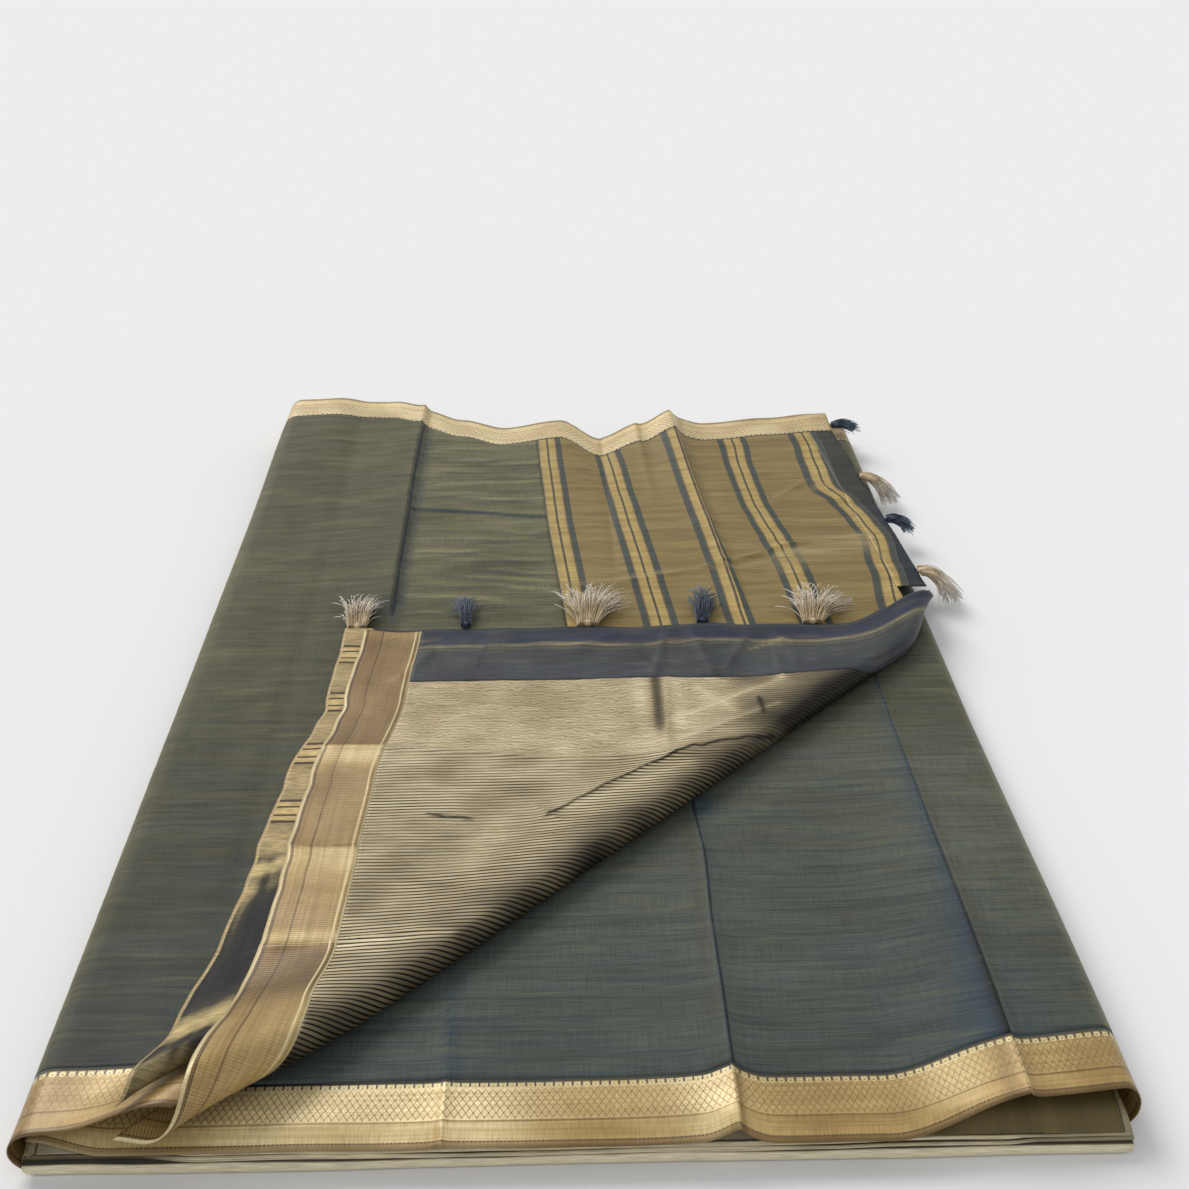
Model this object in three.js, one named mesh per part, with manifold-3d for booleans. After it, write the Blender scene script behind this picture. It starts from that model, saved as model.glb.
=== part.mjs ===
// A saree lying folded on a flat surface, eight layers deep, with the near right corner of its
// two top layers turned back over a diagonal roll.
//
// Millimetres, +Z up. X runs along the saree's length (the panel's short side), Y across its width.
// In the working frame the near edge of the stack lies close to Y = 0; the finished group is
// shifted at the end, so that the origin is the centre of its footprint on the floor.
import * as THREE from 'three';
import { mergeVertices } from 'three/addons/utils/BufferGeometryUtils.js';
import Module from 'manifold-3d';

const wasm = await Module();
wasm.setup();

// ---------------------------------------------------------------- driving sizes
const WALL = 1.5;             // thickness that a layer of cloth is given
const SEAM = 0.3;             // gap between two pieces along a seam
const LAYER = WALL + SEAM;    // height that one more layer adds
const BORDER = 50;            // width of the woven border along each long edge
const LOWER_BORDER = 46;      // the same border as it lies on the lower panel
const END_BAND = 28;          // plain band along the end of the top panel
const FLAP_BAND = 83;         // plain band along the end of the turned-back panel
const PALLU = 338;            // striped length from the end of the top panel

const CORE_TOP = 22;          // height of the hidden layers below the lower panel
const CORE_PLATEAU = 30.7;    // and below the top panel
const LOWER_MID = CORE_TOP + SEAM + WALL / 2;
const TOP_MID = CORE_PLATEAU + SEAM + WALL / 2;

const LEFT_FOLD = { x: -290, reach: 17, low: 2.5 };
const RIGHT_FOLD = { x: 333, reach: 12.5, low: 2.5 };
const FOLD_TURN = THREE.MathUtils.degToRad(135);
const FOLD_ARC = 14;          // cloth used per radian of a side fold

// The diagonal over which the corner is turned back: a 45 degree line y = x + DIAGONAL.
const DIAGONAL = 187;
const DIAGONAL_START = new THREE.Vector2(-63, -63 + DIAGONAL);
const ALONG = new THREE.Vector2(Math.SQRT1_2, Math.SQRT1_2);
const OUTWARD = new THREE.Vector2(Math.SQRT1_2, -Math.SQRT1_2);
const ROLL = { radius: 9, tipRadius: 17, tipLift: 12, tipAt: -200, tipSpread: 85, lead: 12, settle: 70 };

// ---------------------------------------------------------------- small helpers
const ramp = (from, to, value) => {
  const t = THREE.MathUtils.clamp((value - from) / (to - from), 0, 1);
  return t * t * (3 - 2 * t);
};
const bell = (distance, width) => Math.exp(-((distance / width) ** 2));
const crest = (distance, leftWidth, rightWidth) =>
  Math.exp(-Math.abs(distance) / (distance < 0 ? leftWidth : rightWidth));

// Reads a short table of { at, ...columns } rows, easing between rows.
const read = (table, column, at) => {
  if (at <= table[0].at) return table[0][column];
  for (let k = 1; k < table.length; k += 1) {
    const before = table[k - 1];
    const after = table[k];
    if (at <= after.at) return before[column] + (after[column] - before[column]) * ramp(before.at, after.at, at);
  }
  return table[table.length - 1][column];
};

// ---------------------------------------------------------------- outlines in plan
// Far edge of the stack: where it lies, and how far the top layer stands above its bed there.
const FAR_EDGE = [
  { at: -305, y: 1060, lift: 9 },
  { at: -250, y: 1060, lift: 10 },
  { at: -181, y: 1055, lift: 4 },
  { at: -146, y: 1040, lift: 3 },
  { at: -100, y: 1012, lift: 2 },
  { at: -52, y: 992, lift: 1 },
  { at: 12, y: 1000, lift: 6 },
  { at: 55, y: 962, lift: 0 },
  { at: 100, y: 985, lift: 4 },
  { at: 142, y: 1006, lift: 7 },
  { at: 176, y: 1000, lift: 1 },
  { at: 249, y: 1010, lift: 2 },
  { at: 317, y: 1020, lift: 3 },
];
// End of the top panel, along the right side: a straight edge that leans inwards to the far side.
const PANEL_END = { x: 352, y: 600, lean: -0.085 };
// Near edge of the lower panel.
const LOWER_EDGE = [
  { at: -300, y: -4 },
  { at: -250, y: -13 },
  { at: 90, y: -14 },
  { at: 108, y: -11 },
  { at: 130, y: -14 },
  { at: 195, y: -14 },
  { at: 277, y: 0 },
  { at: 345, y: 6 },
];
// Edge of the turned-back corner, by distance from its end, and how far the layer below it shows.
const FLAP_EDGE = [
  { at: 0, x: -162, shows: 18 },
  { at: 108, x: -167, shows: 15 },
  { at: 218, x: -181, shows: 19 },
  { at: 300, x: -184, shows: 22 },
  { at: 398, x: -187, shows: 28 },
  { at: 455, x: -195, shows: 33 },
  { at: 540, x: -202, shows: 34 },
  { at: 620, x: -188, shows: 34 },
];
const FLAP_END = { y: 533, curl: 55, curlFrom: 425, curlTo: 515 };
const TOP_NEAR_EDGE = -10;

const farEdge = (x) => read(FAR_EDGE, 'y', x);
const panelEnd = (y) => PANEL_END.x + PANEL_END.lean * (y - PANEL_END.y);
const stripesFrom = (y) => panelEnd(y) - PALLU;
const alongRoll = (x, y) => ALONG.x * (x - DIAGONAL_START.x) + ALONG.y * (y - DIAGONAL_START.y);
// Distance inside the roll's outer line, which bends inwards towards the right side.
const ROLL_BEND = { inset: 38, from: 520, to: 640 };
const inwards = (x, y) => -OUTWARD.x * (x - DIAGONAL_START.x) - OUTWARD.y * (y - DIAGONAL_START.y)
  - ROLL_BEND.inset * ramp(ROLL_BEND.from, ROLL_BEND.to, alongRoll(x, y));

// Bisects for the value at which a test that starts true turns false.
function lastTrue(test, from, to) {
  let near = from;
  let far = to;
  for (let k = 0; k < 40; k += 1) {
    const mid = (near + far) / 2;
    if (test(mid)) near = mid;
    else far = mid;
  }
  return near;
}

// ---------------------------------------------------------------- heights
const tipShare = (p) => bell(p - ROLL.tipAt, ROLL.tipSpread);
const rollRadius = (p) => ROLL.radius + (ROLL.tipRadius - ROLL.radius) * tipShare(p);
const rollBed = (p) => LOWER_MID + LAYER + ROLL.tipLift * tipShare(p);

// Lengthwise packing creases that stand up as ridges.
const TOP_RIDGE = { x: -145, height: 7, left: 55, right: 9, from: 584, to: 625 };
const PALLU_RIDGE = { x: 134, y: 952, lean: -0.107, low: 4, high: 9, width: 26 };
const CROSS_RIDGE = { y: 776, lean: -0.16, height: 3, width: 6, from: -150, to: 0 };

function topRelief(x, y) {
  const open = ramp(TOP_RIDGE.from, TOP_RIDGE.to, y);
  const ridge = TOP_RIDGE.height * crest(x - TOP_RIDGE.x, TOP_RIDGE.left, TOP_RIDGE.right);
  const palluCrest = PALLU_RIDGE.x + PALLU_RIDGE.lean * (y - PALLU_RIDGE.y);
  const palluHeight = PALLU_RIDGE.low + (PALLU_RIDGE.high - PALLU_RIDGE.low) * ramp(560, 960, y);
  const pallu = palluHeight * crest(x - palluCrest, PALLU_RIDGE.width, PALLU_RIDGE.width);
  const far = read(FAR_EDGE, 'lift', x) * ramp(760, 1000, y);
  const crossing = CROSS_RIDGE.y + CROSS_RIDGE.lean * (x + 75);
  const across = CROSS_RIDGE.height * bell(y - crossing, CROSS_RIDGE.width)
    * ramp(CROSS_RIDGE.from, CROSS_RIDGE.from + 25, x) * (1 - ramp(CROSS_RIDGE.to - 25, CROSS_RIDGE.to, x));
  return (ridge + pallu) * open + far + across;
}

// The top panel rises where it runs up into the open end of the roll.
const TIP_RISE = { height: 22, spread: 30, inside: 16 };
const topBed = (x, y) => TOP_MID
  + TIP_RISE.height * tipShare(alongRoll(x, y)) * bell(inwards(x, y) - TIP_RISE.inside, TIP_RISE.spread);
const topHeight = (x, y) => topBed(x, y) + topRelief(x, y);

const LOWER_CREASES = [
  { x: -62, height: 1.6, left: 7, right: 7, fade: 160 },
  { x: 108, height: 7, left: 20, right: 10, fade: 330 },
];
const RIGHT_RISE = { from: 195, to: 280, height: 13.5, nearFade: 60, farFade: 440 };
function lowerHeight(x, y) {
  const clear = ramp(4, 45, -inwards(x, y));
  const creases = LOWER_CREASES.reduce(
    (sum, c) => sum + c.height * crest(x - c.x, c.left, c.right) * (1 - ramp(0, c.fade, y)), 0);
  const rise = RIGHT_RISE.height * ramp(RIGHT_RISE.from, RIGHT_RISE.to, x)
    * (1 - ramp(RIGHT_RISE.nearFade, RIGHT_RISE.farFade, y));
  return LOWER_MID + (creases + rise) * clear;
}

// ---------------------------------------------------------------- mid surfaces of the layers
// Each takes two distances measured in the cloth and gives a point in space.
function sideFold(fold, side, x, z) {
  const turn = Math.min(side * (x - fold.x) / FOLD_ARC, FOLD_TURN);
  if (turn <= 0) return { x, z };
  return {
    x: fold.x + side * fold.reach * Math.sin(turn),
    z: fold.low + (z - fold.low) * (1 + Math.cos(turn)) / 2,
  };
}

function topPoint(x, y) {
  const folded = sideFold(LEFT_FOLD, -1, x, topHeight(Math.max(x, LEFT_FOLD.x), y));
  return new THREE.Vector3(folded.x, y, folded.z);
}

function lowerPoint(x, y) {
  const folded = sideFold(RIGHT_FOLD, 1, x, lowerHeight(Math.min(x, RIGHT_FOLD.x), y));
  return new THREE.Vector3(folded.x, y, folded.z);
}

const SLACK = 1.2;            // extra room under the flap

// u: distance from the end of the flap. w: distance from its selvage. inner: depth below the outer layer.
function flapPlan(u, w) {
  const y = FLAP_END.y + FLAP_END.curl * ramp(FLAP_END.curlFrom, FLAP_END.curlTo, w) - u;
  return new THREE.Vector2(read(FLAP_EDGE, 'x', u) + w, y);
}

function turnedBack(plan, inner) {
  const p = alongRoll(plan.x, plan.y);
  const radius = rollRadius(p);
  const bed = rollBed(p);
  const past = radius - inwards(plan.x, plan.y);
  const own = radius - inner;
  let outward = -inwards(plan.x, plan.y);
  let z;
  if (past <= 0) {
    const resting = topBed(plan.x, plan.y) + 2 * LAYER + SLACK;
    const drop = Math.max(bed + 2 * radius - resting, 0);
    z = resting + drop * (1 - ramp(0, ROLL.settle, -past)) - inner;
  } else if (past < Math.PI * own) {
    outward = own * Math.sin(past / own) - radius;
    z = bed + radius + own * Math.cos(past / own);
  } else {
    outward = -radius - (past - Math.PI * own);
    z = bed + inner;
  }
  const shift = outward + inwards(plan.x, plan.y);
  return new THREE.Vector3(plan.x + OUTWARD.x * shift, plan.y + OUTWARD.y * shift, z);
}

const flapPoint = (u, w, inner = 0) => turnedBack(flapPlan(u, w), inner);

// The layer below the flap turns under in a tighter fold of its own, further in than the roll.
const UNDER = LAYER + 0.9;
const TUCK = { inset: 32, radius: 6.5, turn: THREE.MathUtils.degToRad(150) };
const pastTuck = (plan) => TUCK.inset + TUCK.radius - inwards(plan.x, plan.y);

function underPoint(u, w) {
  const plan = flapPlan(u, w);
  const past = pastTuck(plan);
  if (past <= 0) return turnedBack(plan, UNDER);
  const start = turnedBack(plan.clone().addScaledVector(OUTWARD, -past), UNDER);
  const turn = past / TUCK.radius;
  const shift = TUCK.radius * Math.sin(turn) - past;
  return new THREE.Vector3(plan.x, plan.y, start.z - TUCK.radius * (1 - Math.cos(turn)))
    .add(new THREE.Vector3(OUTWARD.x * shift, OUTWARD.y * shift, 0));
}

// Distance from the flap's end at which its cloth has passed over the roll by a given share of half a turn.
function flapReach(w, share, lead) {
  return lastTrue((u) => {
    const plan = flapPlan(u, w);
    const radius = rollRadius(alongRoll(plan.x, plan.y));
    return radius - inwards(plan.x, plan.y) < share * Math.PI * radius + lead;
  }, 0, 900);
}

// ---------------------------------------------------------------- solids from surfaces
// A closed wall of even thickness about a surface, sampled on a grid of (row, column).
function wall(surface, rows, columns, place, thickness = WALL) {
  const STEP = 0.5;
  const upper = [];
  const lower = [];
  for (let r = 0; r <= rows; r += 1) {
    for (let c = 0; c <= columns; c += 1) {
      const [a, b] = place(r / rows, c, r);
      const point = surface(a, b);
      const alongA = surface(a + STEP, b).sub(surface(a - STEP, b));
      const alongB = surface(a, b + STEP).sub(surface(a, b - STEP));
      const normal = alongA.cross(alongB).normalize().multiplyScalar(thickness / 2);
      upper.push(point.clone().add(normal));
      lower.push(point.clone().sub(normal));
    }
  }
  const points = [...upper, ...lower];
  const width = columns + 1;
  const offset = upper.length;
  const index = [];
  const quad = (a, b, c, d) => index.push(a, b, c, a, c, d);
  for (let r = 0; r < rows; r += 1) {
    for (let c = 0; c < columns; c += 1) {
      const a = r * width + c;
      quad(a, a + 1, a + width + 1, a + width);
      quad(offset + a, offset + a + width, offset + a + width + 1, offset + a + 1);
    }
  }
  for (let c = 0; c < columns; c += 1) {
    const last = rows * width + c;
    quad(c, offset + c, offset + c + 1, c + 1);
    quad(last + 1, offset + last + 1, offset + last, last);
  }
  for (let r = 0; r < rows; r += 1) {
    const first = r * width;
    const end = first + columns;
    quad(first + width, offset + first + width, offset + first, first);
    quad(end, offset + end, offset + end + width, end + width);
  }
  return closed(points, index);
}

// Builds an indexed geometry and turns its faces outwards.
function closed(points, index) {
  const geometry = new THREE.BufferGeometry();
  geometry.setAttribute('position', new THREE.Float32BufferAttribute(points.flatMap((p) => p.toArray()), 3));
  let volume = 0;
  for (let k = 0; k < index.length; k += 3) {
    volume += points[index[k]].dot(points[index[k + 1]].clone().cross(points[index[k + 2]]));
  }
  if (volume < 0) {
    for (let k = 0; k < index.length; k += 3) [index[k + 1], index[k + 2]] = [index[k + 2], index[k + 1]];
  }
  geometry.setIndex(index);
  return geometry;
}

// Column position for stops x0, x1, ... with a number of columns between each two.
function between(stops, counts, column) {
  let left = column;
  for (let k = 0; k < counts.length; k += 1) {
    if (left <= counts[k]) return stops[k] + (stops[k + 1] - stops[k]) * (left / counts[k]);
    left -= counts[k];
  }
  return stops[stops.length - 1];
}
const total = (counts) => counts.reduce((sum, n) => sum + n, 0);

const group = new THREE.Group();
function add(name, geometry, color, roughness, metalness) {
  const mesh = new THREE.Mesh(geometry, new THREE.MeshStandardMaterial({ color, roughness, metalness }));
  mesh.name = name;
  group.add(mesh);
}

// ---------------------------------------------------------------- finishes
const OLIVE = ['#5c5d4b', 0.62, 0.1];
const TEAL_GREY = ['#4a5554', 0.6, 0.1];
const ZARI = ['#b39a68', 0.38, 0.5];
const TISSUE = ['#8f8161', 0.45, 0.35];
const KHAKI = ['#857450', 0.55, 0.2];
const NAVY = ['#2f3544', 0.6, 0.05];
const CREAM = ['#e2cfae', 0.5, 0.0];
const DARK_SILK = ['#27343f', 0.5, 0.0];
const HIDDEN = ['#7d7250', 0.6, 0.15];

// ---------------------------------------------------------------- hidden layers
// One rounded solid, layered at its near and far edges and rounded like stacked folds at its sides.
const CORE = { left: -291, right: 331, near: -9.5, farInset: 6, reach: { left: 9.5, right: 7 }, layers: 5 };

function coreTop(x, y) {
  const behind = ramp(52, 90, inwards(x, y));
  const plateau = behind * ramp(48, 85, y) * (1 - ramp(205, 245, x));
  return CORE_TOP + (CORE_PLATEAU - CORE_TOP) * plateau;
}

function hiddenLayers() {
  const across = 20;
  const along = 22;
  const levels = 2 * CORE.layers;
  const points = [];
  const index = [];
  const quad = (a, b, c, d) => index.push(a, b, c, a, c, d);
  const plan = (i, j) => {
    const x = CORE.left + (CORE.right - CORE.left) * (i / across);
    const back = farEdge(x) - CORE.farInset;
    return new THREE.Vector2(x, CORE.near + (back - CORE.near) * (j / along));
  };
  for (let j = 0; j <= along; j += 1) {
    for (let i = 0; i <= across; i += 1) {
      const at = plan(i, j);
      points.push(new THREE.Vector3(at.x, at.y, coreTop(at.x, at.y)));
    }
  }
  const width = across + 1;
  for (let j = 0; j < along; j += 1) {
    for (let i = 0; i < across; i += 1) {
      const a = j * width + i;
      quad(a, a + 1, a + width + 1, a + width);
    }
  }
  const rim = [];
  for (let i = 0; i < across; i += 1) rim.push([i, 0]);
  for (let j = 0; j < along; j += 1) rim.push([across, j]);
  for (let i = across; i > 0; i -= 1) rim.push([i, along]);
  for (let j = along; j > 0; j -= 1) rim.push([0, j]);
  let ring = rim.map(([i, j]) => j * width + i);
  for (let level = levels - 1; level >= 0; level -= 1) {
    const share = level / levels;
    const round = Math.sqrt(Math.max(1 - (2 * share - 1) ** 2, 0));
    const layer = level % 2 === 1 ? 2.4 + 0.8 * Math.sin(level * 2.3) : -0.4;
    const next = rim.map(([i, j]) => {
      const at = plan(i, j);
      const height = coreTop(at.x, at.y) * share;
      if (i === 0) at.x -= CORE.reach.left * round;
      if (i === across) at.x += CORE.reach.right * round;
      const inset = (i === 0 || i === across) ? 2 : 0;
      if (j === 0) at.y -= layer - inset;
      if (j === along) at.y += layer - inset;
      points.push(new THREE.Vector3(at.x, at.y, height));
      return points.length - 1;
    });
    ring.forEach((_, k) => {
      const after = (k + 1) % ring.length;
      quad(next[k], next[after], ring[after], ring[k]);
    });
    ring = next;
  }
  points.push(new THREE.Vector3((CORE.left + CORE.right) / 2, 500, 0));
  const middle = points.length - 1;
  ring.forEach((_, k) => index.push(middle, ring[(k + 1) % ring.length], ring[k]));
  return closed(points, index);
}

// ---------------------------------------------------------------- lower panel (third layer)
const wrapEnd = (fold, side) => fold.x + side * FOLD_ARC * FOLD_TURN;
const LOWER_UNDER = 34;       // how far the lower panel runs in under the roll, along X
const lowerLeft = (y) => Math.min(Math.max(y - DIAGONAL - LOWER_UNDER, -298), 284);

function lowerStops(y) {
  const left = lowerLeft(y);
  return [left, Math.max(108, left + 6), Math.max(RIGHT_RISE.from, left + 12), Math.max(284, left + 18),
    RIGHT_FOLD.x, wrapEnd(RIGHT_FOLD, 1)];
}
const LOWER_COLUMNS = [5, 4, 4, 2, 6];
const lowerFar = (x) => farEdge(Math.min(x, 330)) - 3;
const lowerNear = (x) => read(LOWER_EDGE, 'y', x);

function lowerField() {
  return wall(lowerPoint, 19, total(LOWER_COLUMNS), (t, c) => {
    const guess = lowerNear(0) + LOWER_BORDER + (lowerFar(300) - BORDER - lowerNear(0) - LOWER_BORDER) * t;
    const x = between(lowerStops(guess), LOWER_COLUMNS, c);
    const near = lowerNear(x) + LOWER_BORDER + SEAM / 2;
    const far = lowerFar(x) - BORDER - SEAM / 2;
    return [x, near + (far - near) * t];
  });
}

function lowerNearBorder() {
  const stops = [-298, -62, 108, RIGHT_RISE.from, 284, RIGHT_FOLD.x, wrapEnd(RIGHT_FOLD, 1)];
  const counts = [8, 6, 4, 5, 3, 6];
  return wall(lowerPoint, 2, total(counts), (t, c) => {
    const x = between(stops, counts, c);
    return [x, lowerNear(x) + (LOWER_BORDER - SEAM / 2) * t];
  });
}

function lowerFarBorder() {
  const stops = [284, RIGHT_FOLD.x, wrapEnd(RIGHT_FOLD, 1)];
  const counts = [3, 6];
  return wall(lowerPoint, 2, total(counts), (t, c) => {
    const x = between(stops, counts, c);
    return [x, lowerFar(x) - BORDER + SEAM / 2 + (BORDER - SEAM / 2) * t];
  });
}

// ---------------------------------------------------------------- top panel (first layer)
const ROLL_CLEAR = 8.5;       // the top panel stops this far inside the roll's outer line
const rollSide = (y) => lastTrue((x) => inwards(x, y) > ROLL_CLEAR, -400, 500);
const panelRight = (y) => Math.min(rollSide(y), stripesFrom(y));

const TOP_FAR_ROW = 960;
const STRIPES_NEAR = 478;     // where the striped field and the end band come out from under the corner
const END_BAND_NEAR = 610;
const TOP_COLUMNS = [6, 6, 2, 7];
const STRIPE_COLUMNS = [6, 3, 4];

function topX(y, column) {
  const right = panelRight(y) - SEAM / 2;
  const ridge = Math.min(TOP_RIDGE.x, right - 40);
  const past = Math.min(ridge + 16, right - 8);
  return between([wrapEnd(LEFT_FOLD, -1), LEFT_FOLD.x, ridge, past, right], TOP_COLUMNS, column);
}

function stripeX(y, column) {
  const left = stripesFrom(y) + SEAM / 2;
  const right = Math.min(panelEnd(y) - END_BAND, rollSide(y)) - SEAM / 2;
  const ridge = PALLU_RIDGE.x + PALLU_RIDGE.lean * (y - PALLU_RIDGE.y);
  return between([left, ridge, (ridge + right) / 2, right], STRIPE_COLUMNS, column);
}

const bandX = (y, column) => panelEnd(y) - END_BAND + SEAM / 2 + (END_BAND - SEAM / 2) * (column / 2);

// A panel of the top layer between its near side and the far border, its columns placed by columnX.
function topPiece(near, rows, columns, columnX) {
  return wall(topPoint, rows, columns, (t, c) => {
    const x = columnX(near + (TOP_FAR_ROW - near) * t, c);
    const far = farEdge(x) - BORDER - SEAM / 2;
    return [x, near + (far - near) * t];
  });
}

const topField = () => topPiece(TOP_NEAR_EDGE + BORDER + SEAM / 2, 22, total(TOP_COLUMNS), topX);
const stripedField = () => topPiece(STRIPES_NEAR, 16, total(STRIPE_COLUMNS), stripeX);
const topEndBand = () => topPiece(END_BAND_NEAR, 14, 2, bandX);

// The far border has the columns of the pieces that it meets.
function farBorder() {
  const row = [];
  for (let c = 0; c <= total(TOP_COLUMNS); c += 1) row.push(topX(TOP_FAR_ROW, c));
  for (let c = 0; c <= total(STRIPE_COLUMNS); c += 1) row.push(stripeX(TOP_FAR_ROW, c));
  for (let c = 0; c <= 2; c += 1) row.push(bandX(TOP_FAR_ROW, c));
  return wall(topPoint, 2, row.length - 1, (t, c) => {
    const x = row[c];
    return [x, farEdge(x) - BORDER + SEAM / 2 + (BORDER - SEAM / 2) * t];
  });
}

function nearLeftBorder() {
  const counts = [6, 10];
  return wall(topPoint, 3, total(counts), (t, c) => {
    const y = TOP_NEAR_EDGE + (BORDER - SEAM / 2) * t;
    const right = rollSide(y) - SEAM / 2;
    return [between([wrapEnd(LEFT_FOLD, -1), LEFT_FOLD.x, right], counts, c), y];
  });
}

// ---------------------------------------------------------------- turned-back corner
const ARC_COLUMNS = 9;
const FLAT_COLUMNS = 11;
const FLAP_TIP = 463;         // where the plain field of the flap comes to a point, from the selvage
const FLAP_WIDTHS = { stops: [BORDER + SEAM / 2, 400, FLAP_TIP], counts: [11, 8] };

// Column positions from one distance to the end of the roll, close together over the roll itself.
function overRoll(from, w, column) {
  const end = flapReach(w, 1, ROLL.lead);
  const bend = Math.max(flapReach(w, 0, 0), from + (end - from) * 0.35);
  return between([from, bend, end], [FLAT_COLUMNS, ARC_COLUMNS], column);
}

function flapField() {
  return wall((u, w) => flapPoint(u, w), total(FLAP_WIDTHS.counts), FLAT_COLUMNS + ARC_COLUMNS, (t, c, r) => {
    const w = between(FLAP_WIDTHS.stops, FLAP_WIDTHS.counts, r);
    return [overRoll(FLAP_BAND + SEAM / 2, w, c), w];
  });
}

function flapBorder() {
  const bandColumns = 2;
  return wall((u, w) => flapPoint(u, w), 3, bandColumns + FLAT_COLUMNS + ARC_COLUMNS, (t, c) => {
    const w = (BORDER - SEAM / 2) * t;
    const first = FLAP_BAND + SEAM / 2;
    return [c < bandColumns ? first * c / bandColumns : overRoll(first, w, c - bandColumns), w];
  });
}

function flapEndBand() {
  const counts = [...FLAP_WIDTHS.counts, 8];
  return wall((u, w) => flapPoint(u, w), 4, total(counts), (t, c) => {
    const u = (FLAP_BAND - SEAM / 2) * t;
    const end = lastTrue((w) => flapReach(w, 1, 4) > u, 60, 900);
    return [u, between([...FLAP_WIDTHS.stops, end], counts, c)];
  });
}

// The layer below shows past the flap's edge, face down, and past its end.
const UNDERLAP = 7;
const END_SHOWS = 7;
function underBorder() {
  const flat = 14;
  const arc = 9;
  const reach = (w, turned) => lastTrue((u) => pastTuck(flapPlan(u, w)) < turned, 0, 900);
  return wall(underPoint, 2, flat + arc, (t, c) => {
    const guess = -30 + (30 + UNDERLAP) * t;
    const along = between([-END_SHOWS, reach(guess, 0), reach(guess, TUCK.turn * TUCK.radius)], [flat, arc], c);
    const shows = read(FLAP_EDGE, 'shows', along);
    return [along, -shows + (shows + UNDERLAP) * t];
  });
}

function underEnd() {
  const counts = [2, ...FLAP_WIDTHS.counts];
  const stops = [UNDERLAP + SEAM, ...FLAP_WIDTHS.stops];
  return wall(underPoint, 1, total(counts), (t, c) =>
    [-END_SHOWS + (END_SHOWS + 9) * t, between(stops, counts, c)]);
}

// ---------------------------------------------------------------- tassels
const TASSEL = { head: 3.1, headLength: 9, rows: 2, perRow: 8, strand: 1.0, length: 46, gap: 0.8 };

// seat: where the head meets the edge. forward: away from the cloth. lean: the strands' turn in plan.
// spread: half the angle that the strands fan over. droop: how far their ends hang down.
function tassel(seat, forward, { lean, spread, droop = 0 }, seed) {
  const side = new THREE.Vector3(-forward.y, forward.x, 0);
  const start = seat.clone().addScaledVector(forward, TASSEL.gap);
  const profile = [[0, 0], [0.7, 0], [1, 0.35], [0.95, 0.7], [0.8, 1], [0, 1]]
    .map(([r, h]) => new THREE.Vector2(r * TASSEL.head, h * TASSEL.headLength));
  const head = new THREE.LatheGeometry(profile, 8);
  head.rotateX(Math.PI / 2);
  head.applyMatrix4(new THREE.Matrix4().makeBasis(side, new THREE.Vector3(0, 0, 1), forward));
  head.translate(start.x, start.y, start.z);
  const solids = [solid(head)];
  for (let row = 0; row < TASSEL.rows; row += 1) {
    for (let k = 0; k < TASSEL.perRow; k += 1) {
      const fan = (k + 0.5) / TASSEL.perRow * 2 - 1;
      const jitter = Math.sin(seed * 7.1 + k * 3.7 + row * 5.3);
      const angle = THREE.MathUtils.degToRad(lean + spread * (fan + 0.05 * jitter));
      const level = (row - 0.5) * 2.2;
      const lift = row === 0 ? 1.2 : 5.5 + 2 * jitter;
      const length = TASSEL.length * (0.9 + 0.1 * Math.sin(seed + k * 2.1 + row * 1.3)) * (1 - 0.12 * fan * fan);
      const root = start.clone()
        .addScaledVector(forward, TASSEL.headLength - 2.2)
        .addScaledVector(side, fan * TASSEL.head * 0.55)
        .add(new THREE.Vector3(0, 0, level));
      const points = [0, 0.45, 1].map((s) => root.clone()
        .addScaledVector(forward, length * s * Math.cos(angle * s))
        .addScaledVector(side, length * s * Math.sin(angle * (0.55 + 0.45 * s)))
        .add(new THREE.Vector3(0, 0, lift * Math.sin(Math.PI * 0.62 * s) - droop * s * s)));
      solids.push(strand(points, TASSEL.strand));
    }
  }
  const joined = wasm.Manifold.union(solids);
  const mesh = joined.getMesh();
  const geometry = new THREE.BufferGeometry();
  geometry.setAttribute('position', new THREE.BufferAttribute(new Float32Array(mesh.vertProperties), 3));
  geometry.setIndex(new THREE.BufferAttribute(new Uint32Array(mesh.triVerts), 1));
  return geometry;
}

function solid(geometry) {
  const bare = geometry.clone();
  bare.deleteAttribute('normal');
  bare.deleteAttribute('uv');
  const merged = mergeVertices(bare, 1e-4);
  return new wasm.Manifold(new wasm.Mesh({
    numProp: 3,
    vertProperties: new Float32Array(merged.attributes.position.array),
    triVerts: new Uint32Array(merged.index.array),
  }));
}

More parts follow.
